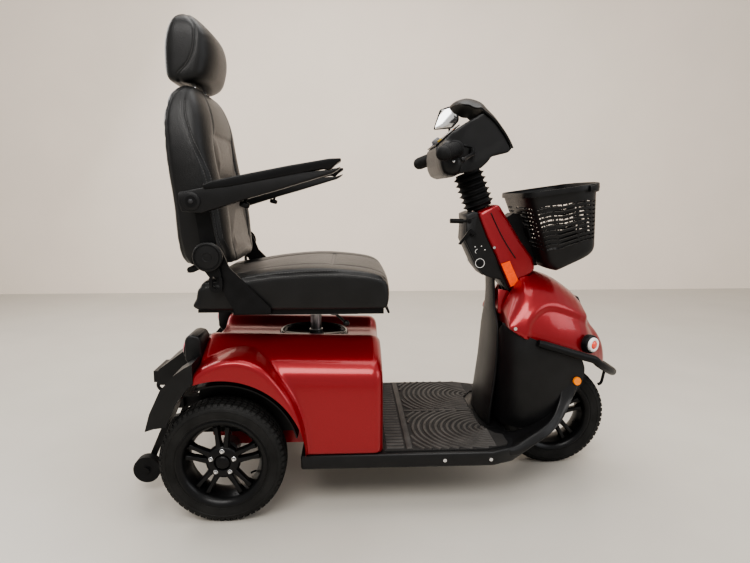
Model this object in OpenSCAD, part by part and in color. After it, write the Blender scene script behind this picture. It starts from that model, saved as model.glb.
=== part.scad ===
/* [Overall] */
// diameter of the three road tyres
tyre_d = 330; // [300:1:360]
// section width of the road tyres
tyre_w = 80; // [60:1:100]
// distance from the rear wheel line to the front axle
wheelbase = 977; // [940:1:1010]
// half of the rear track, centre of tyre to centre plane
half_track = 290; // [280:1:300]
// angle of the steering axis from the vertical
rake = 20.7; // [15:0.1:28]

/* [Floor] */
// half width of the foot platform
floor_hw = 292; // [270:1:300]
// height of the bottom edge of the platform skirt
skirt_z = 126; // [100:1:140]
// thickness of the moulded platform skin
floor_t = 5; // [3:0.5:8]

/* [Body covers] */
// wall thickness of the painted covers
cover_t = 4; // [2.5:0.5:6]
// radius of the seat-post opening in the rear cover
ring_r = 97; // [85:1:110]
// radius of the rear wheel arches
arch_r = 213; // [205:1:225]

/* [Steering] */
// radius of the steering shaft
shaft_r = 10; // [8:0.5:12]
// running clearance of every pin in its own bore
run = 0.05; // [0.02:0.01:0.1]
// radius of the hand grips
grip_r = 20; // [16:0.5:23]

/* [Seat] */
// half width of the seat cushion
cush_hw = 235; // [220:1:240]
// half width of the backrest cushion
back_hw = 222; // [200:1:224]
// radius of the seat post
post_r = 17; // [14:0.5:20]

/* [Hidden] */
$fn = 96;
xr = -437;
zr = tyre_d / 2;
xf = xr + wheelbase;
// steering axis: a point at distance s above the front axle
function P(s) = [xf - s * sin(rake), 0, zr + s * cos(rake)];
// polygon moved inward by d, for points listed anticlockwise
function inset(p, d) = let (n = len(p)) [for (i = [0:n - 1])
  let (a = p[(i + n - 1) % n], b = p[i], c = p[(i + 1) % n],
       u = (b - a) / norm(b - a), v = (c - b) / norm(c - b),
       n1 = [-u[1], u[0]], n2 = [-v[1], v[0]])
  b + (n1 + n2) / (1 + n1 * n2) * d];
function mir(p) = [for (i = [len(p) - 1:-1:0]) [-p[i][0], p[i][1]]];
function rad(x) = x * PI / 180;

red = [0.62, 0.05, 0.06];
blk = [0.07, 0.07, 0.075];
dgr = [0.16, 0.16, 0.17];
sil = [0.72, 0.72, 0.74];

// profile drawn in X and Z, running from y0 to y1
module side(pts, y0, y1) translate([0, y1, 0]) rotate([90, 0, 0]) linear_extrude(height = y1 - y0) polygon(pts);
// profile drawn in Y and Z, running from x0 to x1
module face(pts, x0, x1) translate([x0, 0, 0]) rotate([90, 0, 90]) linear_extrude(height = x1 - x0) polygon(pts);
// both hands of a piece drawn on the right
module both() { children(); mirror([0, 1, 0]) children(); }
// round bar between two points
module rod(a, b, r) {
  d = b - a; L = norm(d);
  translate(a) rotate([0, acos(d[2] / L), atan2(d[1], d[0])]) cylinder(r = r, h = L);
}
// bent round bar
module pipe(p, r) {
  for (i = [0:len(p) - 2]) rod(p[i], p[i + 1], r);
  for (i = [1:len(p) - 2]) translate(p[i]) sphere(r = r * 1.03);
}
// round bar along Y
module ybar(x, z, r, y0, y1) translate([x, y1, z]) rotate([90, 0, 0]) cylinder(r = r, h = y1 - y0);
// part lying along the steering axis, s measured from the front axle
module on_axis(s) translate(P(s)) rotate([0, -rake, 0]) children();

/* ---------------- chassis ---------------- */

module main_frame() color(dgr) {
  // floor rails, uprights and upper rear rails
  both() {
    translate([-250, 90, 128]) cube([575, 30, 30]);
    translate([-250, 90, 158]) cube([25, 30, 117]);
    translate([-604, 90, 245]) cube([354, 30, 30]);
  }
  // cross members
  translate([-230.5, -90, 128]) cube([48.5, 180, 30]);
  translate([-604, -90, 245]) cube([26, 180, 30]);
  translate([-250, -90, 245]) cube([19, 180, 30]);
  translate([290, -90, 128]) cube([35, 180, 30]);
  // seat tube
  difference() {
    translate([-207, 0, 150]) cylinder(r = 24, h = 282);
    translate([-207, 0, 170]) cylinder(r = post_r + run, h = 300);
  }
  // spine up to the steering head
  difference() {
    union() {
      translate([305, -22, 150]) cube([40, 44, 20]);
      side([[322, 165], [352, 165], [394, 430], [440, 425], [405, 535], [372, 500]], -20, 20);
      on_axis(215) cylinder(r = 22, h = 190);
    }
    on_axis(205) cylinder(r = shaft_r + 1.5, h = 210);
  }
  // bushes and column tube with the tilt ears
  difference() {
    union() {
      on_axis(216) cylinder(r = shaft_r + 1.6, h = 12);
      on_axis(400) cylinder(r = 15, h = 290);
      on_axis(676) cylinder(r = 24, h = 14);
      on_axis(690) both() translate([-12, 20, 0]) cube([24, 6, 57]);
    }
    on_axis(205) cylinder(r = shaft_r + run, h = 520);
    ybar(P(735)[0], P(735)[2], 5 + run, -40, 40);
  }
}

pan_plan = [[-236, -floor_hw], [285, -floor_hw], [345, -268], [392, -222], [410, -152], [360, -150],
  [360, 150], [410, 152], [392, 222], [345, 268], [285, floor_hw], [-236, floor_hw]];
module floor_pan() color(blk) {
  difference() {
    union() {
      translate([0, 0, 160]) linear_extrude(height = 6) polygon(pan_plan);
      difference() {
        translate([0, 0, skirt_z]) linear_extrude(height = 40) polygon(pan_plan);
        translate([0, 0, skirt_z - 1]) linear_extrude(height = 42) polygon(inset(pan_plan, floor_t));
      }
    }
    // room for the seat tube, the uprights and the front spine
    translate([-207, 0, 100]) cylinder(r = 25, h = 100);
    both() translate([-252, 89, 100]) cube([28, 32, 100]);
    translate([304, -23, 100]) cube([70, 46, 100]);
  }
  // upswept toe boards beside the front wheel
  both() intersection() {
    side([[356, 166], [372, 166], [405, 172], [440, 193], [470, 222], [490, 262], [484, 268], [455, 240],
          [415, 200], [372, 180], [340, 170], [340, 166]], 152, 265);
    linear_extrude(height = 400) polygon([[330, 164], [340, 166], [376, 178.5], [520, 178.5], [520, 184], [450, 194], [396, 222], [345, 262], [330, 262]]);
  }
}

mat_plan = [[-10, -278], [268, -278], [330, -254], [338.5, -240], [338.5, -182], [318, -176], [290, -128], [286, -124],
  [286, 124], [290, 128], [318, 176], [338.5, 182], [338.5, 240], [330, 254], [268, 278], [-10, 278]];
module floor_mat() color([0.12, 0.11, 0.105]) {
  translate([0, 0, 166]) linear_extrude(height = 3.5) polygon(mat_plan);
  // raised ribs
  for (i = [0:3]) translate([4 + 13 * i, -270, 169.5]) cube([6, 540, 2.5]);
  for (y = [-250:18:250]) translate([66, y - 4, 169.5]) cube([212, 8, 2.5]);
}

cov_front = [[-292, 100], [292, 100], [290, 330], [270, 396], [244, 420], [200, 440], [160, 456], [122, 461],
  [100, 455], [70, 438], [40, 434], [-40, 434], [-70, 438], [-100, 455], [-122, 461], [-160, 456], [-200, 440],
  [-244, 420], [-270, 396], [-290, 330]];
cov_side = [[-500, 173], [-14, 173], [-14, 380], [-18, 450], [-30, 500], [-500, 500]];
module cover_block(d) intersection() {
  side(inset(cov_side, d), -300, 300);
  translate([-250, 0, 455]) rotate([0, 1.4, 0]) translate([250, 0, -455]) face(inset(cov_front, d), -560, 60);
}
module rear_cover() color(red) {
  difference() {
    cover_block(0);
    cover_block(cover_t);
    // open underside, seat-post opening, wheel arches, tail
    translate([-496, -288, 150]) cube([478, 576, 40]);
    translate([-213, 0, 300]) cylinder(r = ring_r, h = 300);
    both() ybar(xr + 2, 175, arch_r, 200, 400);
    both() translate([-520, 200, 100]) cube([90, 200, 275]);
    translate([-520, -230, 100]) cube([60, 460, 290]);
  }
  // raised rim round the seat-post opening
  translate([-213, 0, 426]) difference() {
    cylinder(r = ring_r + 7, h = 14);
    translate([0, 0, -1]) cylinder(r = ring_r - 2, h = 16);
  }
  // flared fenders
  both() intersection() {
    side([[-500, 378], [-473, 390], [-443, 398], [-399, 402], [-356, 397], [-322, 385], [-292, 366], [-262, 329],
      [-239, 277], [-228, 230], [-226, 178], [-219, 178], [-220, 220], [-229, 275], [-252, 328], [-283, 376],
      [-318, 414], [-353, 435], [-388, 443], [-424, 441], [-459, 432], [-500, 411]], 268, 327);
    face([[200, 100], [327, 100], [327, 412], [318, 428], [268, 452], [200, 452]], -520, -200);
  }
}

module rear_guards() color(blk) both() {
  // splash guards behind the rear wheels
  side([[-628, 257], [-605, 264], [-574, 268], [-547, 328], [-522, 362], [-500.4, 384], [-500.4, 434], [-520, 424],
    [-549, 404], [-584, 366], [-614, 304]], 244, 327);
  // inner arch liners
  intersection() {
    difference() {
      ybar(xr, zr, 200, 232, 287);
      ybar(xr, zr, 196, 236, 288);
    }
    translate([-510, 200, 215]) cube([300, 120, 200]);
  }
}

module lamp_housings() color(blk) both()
  side([[-540, 420], [-532, 408], [-516, 402], [-500.4, 402], [-500.4, 478], [-506, 485], [-520, 488], [-534, 485], [-540, 476]], 150, 243.5);

module rear_lamps() color([0.85, 0.25, 0.3]) both()
  translate([-552, 205, 448]) rotate([0, 90, 0]) cylinder(r = 24, h = 11.5);

module rear_carrier() color(blk) {
  side([[-672, 300], [-606, 300], [-541, 300], [-541, 408], [-576, 412], [-661, 350], [-672, 337]], -90, 90);
  side([[-541, 306], [-501, 306], [-501, 400], [-541, 400]], -80, 80);
  translate([-691, -60, 299]) cube([18.5, 120, 34]);
  // towing eye below the tail
  translate([-667, -50, 287]) rotate([90, 0, 0]) rotate_extrude() translate([16, 0]) circle(r = 5);
}

module anti_tip_arms() color(dgr) both() {
  side([[-604, 246], [-584, 246], [-584, 274], [-604, 274]], 120.2, 136);
  side([[-604, 246], [-690, 58], [-702, 74], [-617, 262], [-604, 274]], 130, 136);
  ybar(-690, 72, 16, 130, 136);
  ybar(-690, 72, 5, 130, 168);
  ybar(-690, 72, 9, 168, 172);
}

module transaxle() color([0.5, 0.5, 0.52]) {
  ybar(xr, zr, 26, -244, 244);
  ybar(xr, zr, 60, -46, 46);
  translate([xr, 0, zr]) translate([20, 0, 0]) rotate([0, 90, 0]) cylinder(r = 44, h = 150);
  ybar(xr, zr, 12, -308, 308);
  both() translate([xr - 15, 90, zr]) cube([30, 30, 80]);
}

module batteries() color([0.2, 0.2, 0.24]) both() {
  translate([-170, 8, 166.2]) cube([138, 190, 172]);
  translate([-150, 30, 338.2]) cylinder(r = 8, h = 12);
  translate([-60, 30, 338.2]) cylinder(r = 8, h = 12);
}

nose_side = [[357, 474], [379, 457], [432, 434], [500, 414], [568, 394], [640, 362], [700, 326], [701, 357],
  [694, 388], [682, 415], [661, 444], [635, 472], [615, 488], [607, 530], [593, 552], [562, 577], [533, 598],
  [502, 614], [459, 629], [418, 632], [404, 604], [385, 577], [372, 541], [361, 503]];
nose_plan = [[340, -172], [430, -178], [500, -174], [568, -158], [620, -130], [660, -92], [688, -48], [702, 0],
  [688, 48], [660, 92], [620, 130], [568, 158], [500, 174], [430, 178], [340, 172]];
nose_face = [[-178, 300], [178, 300], [178, 450], [170, 490], [148, 540], [112, 585], [66, 622], [40, 640],
  [-40, 640], [-66, 622], [-112, 585], [-148, 540], [-170, 490], [-178, 450]];
module nose_block(d) intersection() {
  side(inset(nose_side, d), -190, 190);
  linear_extrude(height = 700) polygon(inset(nose_plan, d));
  face(inset(nose_face, d), 300, 720);
}
module nose_cowl() color(red) {
  difference() {
    nose_block(0);
    nose_block(cover_t);
    // open underside and back
    side([[340, 440], [432, 424], [568, 385], [640, 352], [692, 322], [690, 300], [340, 300]], -168, 168);
    side([[350, 440], [470, 400], [440, 560], [410, 596], [380, 560], [366, 500]], -150, 150);
    on_axis(300) cylinder(r = 34, h = 300);
    side([[350, 520], [398, 566], [405, 578], [430, 606], [457, 632], [470, 690], [350, 690]], -72, 72);
  }
  // rear infill panel under the column
  both() side([[328, 506], [356.8, 497], [366, 540], [372, 561], [328, 570]], 96, 100);
}

module lamp_bezels() color(blk) {
  // headlamp in the nose
  side([[615.5, 492], [625, 490], [617, 546], [604, 548], [608, 530]], -46, 46);
  // round side lamps
  both() translate([596.5, 143.8, 417]) rotate([0, 90, 61.7]) cylinder(r = 27, h = 14);
}
module lamp_lenses() color([0.9, 0.9, 0.88]) {
  both() translate([596.5, 143.8, 417]) rotate([0, 90, 61.7]) translate([0, 0, 14.1]) cylinder(r = 19, h = 5);
}

shell_side = [[308, 238], [341, 200], [373, 186], [431, 201], [470, 222], [500, 262], [555, 284], [571, 312],
  [574, 347], [566, 366], [440, 428], [379, 450], [345, 466], [322, 448], [308, 425], [297, 361], [297, 292]];
module front_shells() color(blk) both() intersection() {
  side(shell_side, 100, 190);
  linear_extrude(height = 520) polygon([[292, 122], [312, 140], [342, 156], [382, 168], [430, 171], [480, 167],
    [530, 156], [580, 138], [582, 144], [532, 162], [481, 173], [430, 177], [381, 174], [340, 162], [309, 145], [288, 126]]);
}

module side_indicators() color([0.95, 0.42, 0.03]) both() {
  side([[347, 652], [373, 661], [405, 594], [379, 583]], 68.3, 72);
  translate([559, 153.3, 323]) rotate([-90, 0, -20]) cylinder(r = 13, h = 6);
}

module leg_shield() color(blk) difference() {
  intersection() {
    side([[293, 168], [330, 168], [342, 332], [352, 470], [353, 602], [325, 607], [327, 530], [313, 332]], -130, 130);
    face([[-118, 160], [118, 160], [112, 420], [90, 500], [46, 560], [44, 610], [-44, 610], [-46, 560], [-90, 500], [-112, 420]], 200, 400);
  }
  side([[297, 160], [330.5, 160], [342.5, 332], [353, 470], [354, 590], [330, 590], [331, 530], [317, 332]], -40, 40);
}

col_cover_side = [[379, 572], [404, 580], [428, 608], [454, 634], [446, 669], [409, 718], [373, 776], [340, 829],
  [277, 806], [281, 790], [306, 729], [333, 677], [351, 635]];
module column_cover() color(red) difference() {
  intersection() {
    side(col_cover_side, -68, 68);
    face([[-68, 560], [68, 560], [66, 640], [52, 835], [-52, 835], [-66, 640]], 250, 480);
  }
  side(inset(col_cover_side, cover_t), -40, 40);
  side([[379, 560], [376, 590], [351, 650], [333, 692], [306, 744], [281, 806], [260, 800], [320, 650]], -64, 64);
  intersection() {
    side(inset(col_cover_side, cover_t), -64, 64);
    face([[-64, 570], [64, 570], [62, 640], [48, 815], [-48, 815], [-62, 640]], 250, 480);
  }
  on_axis(640) cylinder(r = 33, h = 100);
  on_axis(380) cylinder(r = 20, h = 100);
}

col_panel_side = [[245, 800], [241, 720], [255, 693], [280, 641], [301, 616], [324.6, 607.4], [353.4, 602.4],
  [372, 574], [378.4, 572.4], [350.5, 634.6], [332.5, 676.6], [305.5, 728.6], [280.4, 790], [276.5, 805.5], [262, 804]];
module column_panel() color(blk) difference() {
  side(col_panel_side, -50, 50);
  side([[249, 797], [245, 721], [259, 695], [283, 644], [303, 620], [326, 611.5], [356, 606], [364, 600], [351, 636],
    [333, 678], [306, 730], [281, 791], [276, 801]], -47, 47);
  side([[340, 655], [360, 610], [380, 560], [400, 600], [350, 700]], -44, 44);
  on_axis(620) cylinder(r = 33, h = 140);
  on_axis(420) cylinder(r = 18, h = 250);
  // seats of the tilt lever and bag hook pins
  ybar(252, 778, 4 + run, -60, -40);
  ybar(262, 741, 3 + run, -60, -40);
}

bump = [for (t = [0:6]) let (a = 90 * t / 6) [597 + 121 * sin(a), -182 * cos(a), 388 - 76 * sin(a)]];
module bumper_bar() color(blk) {
  both() rod([428, -191.5, 441], bump[0], 11.5);
  both() translate([428, -191.5, 441]) sphere(r = 11.9);
  both() for (i = [0:5]) rod(bump[i], bump[i + 1], 11.5);
  both() for (i = [0:5]) translate(bump[i]) sphere(r = 11.9);
  translate(bump[6]) sphere(r = 11.9);
  // stays to the shell and the centre stay
  both() rod([470, -187, 427], [470, -176.4, 427], 7);
  pipe([[716, 0, 304], [707, 0, 264], [697, 0, 258]], 5);
}

module fasteners() color(sil) {
  both() for (x = [152, 278]) translate([x, 292, 146]) rotate([-90, 0, 0]) cylinder(r = 5, h = 3);
  both() translate([366, 175.5, 480]) rotate([-90, 0, 0]) cylinder(r = 5, h = 3);
  both() translate([327, 62.5, 700]) rotate([-90, 0, 0]) cylinder(r = 4, h = 3);
}

module basket_bracket() color(blk) {
  side([[456, 640], [470, 642], [412.5, 796], [390, 800], [372, 788], [375, 777], [411, 720], [448, 671]], -30, 30);
  // cross plate behind the basket
  side([[437.4, 729.5], [426.4, 759], [421.6, 757.3], [432.6, 727.8]], -70, 70);
}

module bellows() color(blk) on_axis(697) difference() {
  union() {
    cylinder(r = 37, h = 111);
    for (i = [0:5]) translate([0, 0, 5 + i * 17.5]) {
      cylinder(r1 = 37, r2 = 47, h = 7);
      translate([0, 0, 7]) cylinder(r1 = 47, r2 = 37, h = 7);
    }
  }
  translate([0, 0, -1]) cylinder(r = 33, h = 122);
}

/* ---------------- steering and wheels ---------------- */

module fork() color(dgr) {
  on_axis(184) translate([-26, -66, 0]) cube([52, 132, 22]);
  both() side([[xf - 18, zr - 20], [xf + 18, zr - 20], [xf + 18, zr + 10], [491, 352], [459, 340], [xf - 18, zr + 10]], 54, 64);
  on_axis(206) cylinder(r = shaft_r, h = 530);
  on_axis(206) cylinder(r = 21, h = 8);
  translate(P(735)) sphere(r = 11);
  ybar(xf, zr, 8, -70, 70);
  both() ybar(xf, zr, 13, 64, 72);
}

module tyre() rotate_extrude() difference() {
  polygon([[104, -33.6], [117.3, -35.5], [117.3, -38], [132, -tyre_w / 2], [145, -tyre_w / 2 + 1], [157, -33], [tyre_d / 2 - 2, -24],
    [tyre_d / 2, -12], [tyre_d / 2, 12], [tyre_d / 2 - 2, 24], [157, 33], [145, tyre_w / 2 - 1], [132, tyre_w / 2],
    [117.3, 38], [117.3, 35.5], [104, 33.6]]);
  translate([tyre_d / 2 - 5, 8]) square([10, 3]);
  translate([tyre_d / 2 - 5, -11]) square([10, 3]);
}
module rim(br, open) {
  // barrel and flanges
  rotate_extrude() polygon([[98, -39], [117, -39], [117, -36], [103.6, -34], [103.6, 34], [117, 36], [117, 39],
    [98, 39], [98, 36], [99, 30], [99, -30], [98, -36]]);
  // hub
  difference() {
    union() {
      cylinder(r = 24, h = 30);
      translate([0, 0, -30]) cylinder(r = 24, h = 31);
      translate([0, 0, 8]) cylinder(r = 42, h = 18);
    }
    translate([0, 0, -40]) cylinder(r = br + run, h = open ? 100 : 60);
  }
  // five double spokes
  for (k = [0:4]) rotate([0, 0, 90 + 72 * k]) for (m = [-1, 1]) rotate([0, 0, m * 9])
    translate([36, m * 4 - 5, 10]) cube([63.5, 10, 14]);
  // wheel bolts
  for (k = [0:4]) rotate([0, 0, 54 + 72 * k]) translate([31, 0, 26]) cylinder(r = 4.5, h = 3);
}
module front_tyre() color(blk) translate([xf, 0, zr]) rotate([90, 0, 0]) tyre();
module front_rim() color(dgr) translate([xf, 0, zr]) rotate([90, 0, 0]) intersection() {
  rim(8, true);
  cylinder(r = 130, h = 78.1, center = true);
}
module rear_tyre_right() color(blk) translate([xr, -half_track, zr]) rotate([90, 0, 0]) tyre();
module rear_rim_right() color(dgr) translate([xr, -half_track, zr]) rotate([90, 0, 0]) rim(12, false);
module rear_tyre_left() color(blk) translate([xr, half_track, zr]) rotate([-90, 0, 0]) tyre();
module rear_rim_left() color(dgr) translate([xr, half_track, zr]) rotate([-90, 0, 0]) rim(12, false);

module caster_wheel() color(blk) difference() {
  union() {
    ybar(-690, 72, 38, 138, 166);
    ybar(-690, 72, 12, 136.6, 167.4);
  }
  ybar(-690, 72, 5 + run, 130, 175);
}
module anti_tip_wheel_left() caster_wheel();
module anti_tip_wheel_right() mirror([0, 1, 0]) caster_wheel();

module tiller_yoke() color(dgr) difference() {
  union() {
    on_axis(727) both() translate([-8, 13, 0]) cube([16, 5.6, 45]);
    on_axis(758) cylinder(r = 18.6, h = 34);
    both() ybar(P(735)[0], P(735)[2], 5, 13, 26);
  }
  on_axis(700) cylinder(r = shaft_r + run, h = 140);
}

head_side = [[149, 931], [158, 911], [176, 902], [196, 906], [212, 914], [248, 920], [274, 930], [292, 946], [303, 962],
  [325, 968], [352, 974], [361, 984], [343, 1017], [320, 1050], [301, 1073], [281, 1087], [252, 1070], [228, 1055],
  [191, 1031], [143, 986]];
module head_shell() color(blk) {
  difference() {
    side(head_side, -96, 96);
    side(inset(head_side, 4), -92, 92);
    on_axis(780) cylinder(r = 25, h = 60);
    both() rod([200, 0, 990], [200, -130, 990], 12);
  }
  // lower wings under the grips
  difference() {
    both() side([[145, 962], [149, 931], [158, 911], [176, 902], [198, 907], [212, 930], [204, 950], [186, 960]], 96, 148);
    both() rod(g0 + (g0 - g1) * 0.045, g0 + (g1 - g0) * 0.2, grip_r + 3.4);
  }
  // lever pivots
  both() translate([234, 95, 952]) cube([18, 24, 6]);
  both() translate([243, 108, 957]) cylinder(r = 3, h = 30);
}
module head_hood() color(blk) difference() {
  side([[199, 1114], [240, 1112], [262, 1106], [282, 1093], [303, 1079], [323, 1055], [346, 1021], [362.5, 990],
    [364, 983], [371, 985], [373, 994], [354, 1030], [335, 1059], [318, 1083], [299, 1102], [283, 1120], [262, 1129],
    [239, 1133], [216, 1127]], -100, 100);
  translate([190, 60, 1050]) rotate([0, 0, 35]) cube([80, 60, 100]);
  mirror([0, 1, 0]) translate([190, 60, 1050]) rotate([0, 0, 35]) cube([80, 60, 100]);
}
// dash frame: X up the dash, Z out of it
module dash() translate([185.6, 0, 1019.5]) rotate([0, -40.5, 0]) children();
module dash_panel() color([0.1, 0.1, 0.11]) dash() difference() {
  translate([-48, -84, 5.4]) cube([88, 168, 3]);
  for (p = [[-26, -52], [-26, 52]]) translate([p[0], p[1], 0]) cylinder(r = 7.4, h = 20);
  translate([-26, 0, 0]) cylinder(r = 4 + run, h = 20);
}
module speed_knob() color(dgr) dash() {
  translate([-26, 0, 5]) cylinder(r = 4, h = 6);
  translate([-26, 0, 8.7]) cylinder(r = 13, h = 10.3);
}
module horn_button() color([0.7, 0.6, 0.1]) dash() translate([-26, -52, 6.5]) cylinder(r = 7, h = 5);
module lamp_button() color([0.2, 0.4, 0.7]) dash() translate([-26, 52, 6.5]) cylinder(r = 7, h = 5);

g0 = [188, -152, 978];
g1 = [140, -250, 960];
module handlebar() color(dgr) {
  on_axis(748) cylinder(r = shaft_r, h = 105);
  rod(P(850), [205, 0, 986], 9);
  ybar(200, 990, 11, -118, 118);
  both() pipe([[200, -112, 990], [196, -124, 988], g0 + (g1 - g0) * 0.02, g0 + (g1 - g0) * 0.93], 10.9);
  // mirror arm
  pipe([[243, 96.4, 1040], [246, 130, 1044], [250, 220, 1052], [246, 278.6, 1062]], 4.5);
  translate([246, 278.6, 1062]) cylinder(r = 4, h = 50);
  translate([246, 278.6, 1112]) sphere(r = 6);
}
module grips() color(blk) both() difference() {
  union() {
    rod(g0, g1, grip_r);
    rod(g0 + (g0 - g1) * 0.04, g0 + (g1 - g0) * 0.02, grip_r + 3);
    translate(g1) sphere(r = grip_r - 0.4);
  }
  rod(g0 + (g0 - g1) * 0.2, g0 + (g1 - g0) * 0.96, 11.1);
  rod(g0 + (g0 - g1) * 0.2, g0 + (g1 - g0) * 0.05, 14);
}
module finger_lever() difference() {
  union() {
    translate([243, -108, 958.3]) cylinder(r = 7.5, h = 26);
    pipe([[243, -108, 973], [238, -150, 966], [200, -228, 948], [192, -240, 944]], 5);
    translate([192, -240, 944]) sphere(r = 7);
  }
  translate([243, -108, 950]) cylinder(r = 3 + run, h = 50);
}
module throttle_lever() color(blk) finger_lever();
module brake_lever() color(blk) mirror([0, 1, 0]) finger_lever();

mir_pts = [[-65, -33], [33, -37], [65, -15], [63, 8], [22, 38], [-31, 32]];
module at_mirror() translate([229, 268, 1113]) rotate([0, 0, 210]) children();
module mirror_housing() color(blk) {
  at_mirror() difference() {
    face(mir_pts, -13, 0);
    face(inset(mir_pts, 4), -3.2, 1);
  }
  // collar that turns on the ball
  translate([246, 278.6, 1118.4]) cylinder(r = 8, h = 9);
}
module mirror_glass() color(sil) at_mirror() face(inset(mir_pts, 4.2), -3, -0.4);

module tilt_lever() color(blk) {
  ybar(252, 778, 4, -51, -41);
  ybar(252, 778, 6, -60, -50.3);
  rod([252, -55, 778], [230, -55, 778], 4);
  rod([234, -55, 778], [195, -55, 779], 7);
}
module bag_hook() color(dgr) {
  side([[218, 712], [224, 709], [254, 744], [268, 735], [272, 741], [254, 756], [248, 752]], -72, -66);
  ybar(262, 741, 7, -66, -50.4);
  ybar(262, 741, 3, -52, -38);
}

/* ---------------- seat ---------------- */

module seat_post() color([0.45, 0.45, 0.47]) {
  translate([-207, 0, 200]) cylinder(r = post_r, h = 320);
  translate([-207, 0, 433]) difference() {
    cylinder(r = 21, h = 12);
    translate([0, 0, -1]) cylinder(r = post_r - 1, h = 14);
  }
  translate([-330, -126, 516]) cube([250, 252, 6]);
  both() translate([-360, 100, 522]) cube([300, 24, 9]);
  // swivel lever pivot
  translate([-150, -60, 500]) cylinder(r = 5, h = 17);
}
module seat_pan() color(dgr) {
  difference() {
    translate([-508, -215, 536]) cube([498, 430, 15]);
    translate([-510, -230, 530]) cube([95, 460, 13]);
  }
  // upper slide channels
  both() {
    translate([-405, 96, 522.6]) cube([390, 3.6, 14]);
    translate([-405, 124.4, 522.6]) cube([390, 3.6, 14]);
    translate([-405, 96, 531.4]) cube([390, 32, 5]);
  }
  // recliner side plates
  both() difference() {
    union() {
      side([[-488, 676], [-452, 640], [-403, 546], [-311, 546], [-311, 560], [-415, 668], [-432, 712]], 238, 244);
      ybar(-465, 698, 35, 238, 244);
      translate([-403, 205, 543]) cube([92, 36, 8]);
    }
    ybar(-465, 698, 8 + run, 200, 300);
  }
  // pivots of the front bar
  both() difference() {
    translate([-78, 66, 524]) cube([16, 6, 13]);
    ybar(-70, 530.5, 3.5 + run, 50, 90);
  }
}
cush_side = [[-506, 552.4], [4, 552.4], [12, 578], [9, 606], [-6, 634], [-48, 651], [-119, 664], [-199, 669],
  [-283, 662], [-358, 652], [-405, 641], [-470, 633], [-493, 628], [-507, 606], [-511, 580]];
module seat_cushion() color([0.09, 0.09, 0.1]) intersection() {
  side(cush_side, -cush_hw, cush_hw);
  linear_extrude(height = 800) polygon([[-511, -200], [-480, -cush_hw], [-60, -cush_hw], [-18, -222], [8, -150], [13, -60],
    [13, 60], [8, 150], [-18, 222], [-60, cush_hw], [-480, cush_hw], [-511, 200]]);
}
module bail_lever() color(blk)
  pipe([[-70, -71, 530.5], [-70, -60, 530.5], [6, -60, 524], [14, -60, 507], [14, 60, 507], [6, 60, 524], [-70, 60, 530.5],
    [-70, 71, 530.5]], 3.5);
module swivel_lever() color(blk) difference() {
  union() {
    translate([-150, -60, 502]) cylinder(r = 10, h = 12);
    rod([-148, -66, 508], [-112, -205, 508], 4);
    translate([-112, -205, 508]) sphere(r = 9);
  }
  translate([-150, -60, 490]) cylinder(r = 5 + run, h = 30);
}
module backrest_frame() color(dgr) {
  both() {
    // side strap from the recliner to the armrest pivot
    side([[-486, 672], [-448, 672], [-446, 715], [-470, 860], [-506, 860], [-488, 715]], 225, 230);
    ybar(-465, 698, 8, 229, 258);
    ybar(-465, 698, 37, 256, 263);
    ybar(-488, 840, 20, 229, 242);
    ybar(-488, 840, 9, 241, 300);
    ybar(-488, 840, 14, 304.4, 309);
    ybar(-488, 840, 9, 299, 305);
  }
  // lower rear cross bar
  ybar(-520, 661, 8, -228, 228);
  both() side([[-528, 654], [-512, 654], [-462, 676], [-466, 690], [-486, 690]], 225, 230);
}
back_side = [[-549, 678], [-500, 672], [-466, 690], [-440, 668], [-412, 668], [-412, 690], [-418, 745], [-423, 809], [-438, 870],
  [-450, 926], [-460, 1000], [-464, 1035], [-471, 1069], [-482, 1100], [-497, 1127], [-516, 1144], [-544, 1139], [-560, 1128],
  [-572, 1113], [-580, 1087], [-586, 1047], [-585, 1000], [-581, 939], [-569, 824], [-564, 745], [-558, 700]];
module backrest_cushion() color([0.09, 0.09, 0.1]) difference() {
  intersection() {
    side(back_side, -back_hw, back_hw);
    face([[-back_hw, 600], [back_hw, 600], [back_hw, 940], [216, 1010], [198, 1070], [160, 1118], [110, 1150], [-110, 1150],
      [-160, 1118], [-198, 1070], [-216, 1010], [-back_hw, 940]], -700, -300);
  }
  both() translate([-530, 60, 1040]) cylinder(r = 5.4, h = 200);
}
module recline_lever() color(blk) both() difference() {
  union() {
    ybar(-465, 698, 24, 246, 254);
    side([[-486, 690], [-476, 660], [-462, 640], [-434, 640], [-436, 660], [-444, 688]], 246, 254);
    ybar(-449, 620, 17, 246, 254);
    side([[-466, 620], [-432, 620], [-432, 642], [-466, 642]], 246, 254);
  }
  ybar(-465, 698, 8 + run, 240, 260);
  ybar(-449, 622, 9, 240, 260);
  side([[-458, 622], [-440, 622], [-440, 646], [-458, 646]], 240, 260);
}
arm_side = [[-512, 814], [-465, 811], [-416, 827], [-344, 850], [-273, 870], [-143, 909], [-121, 934], [-123, 944], [-240, 926],
  [-453, 884], [-466, 872], [-518, 862], [-520, 838]];
module armrest() color(blk) difference() {
  side(arm_side, 246, 304);
  ybar(-488, 840, 9 + run, 240, 310);
}
module armrest_left() armrest();
module armrest_right() mirror([0, 1, 0]) armrest();

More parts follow.
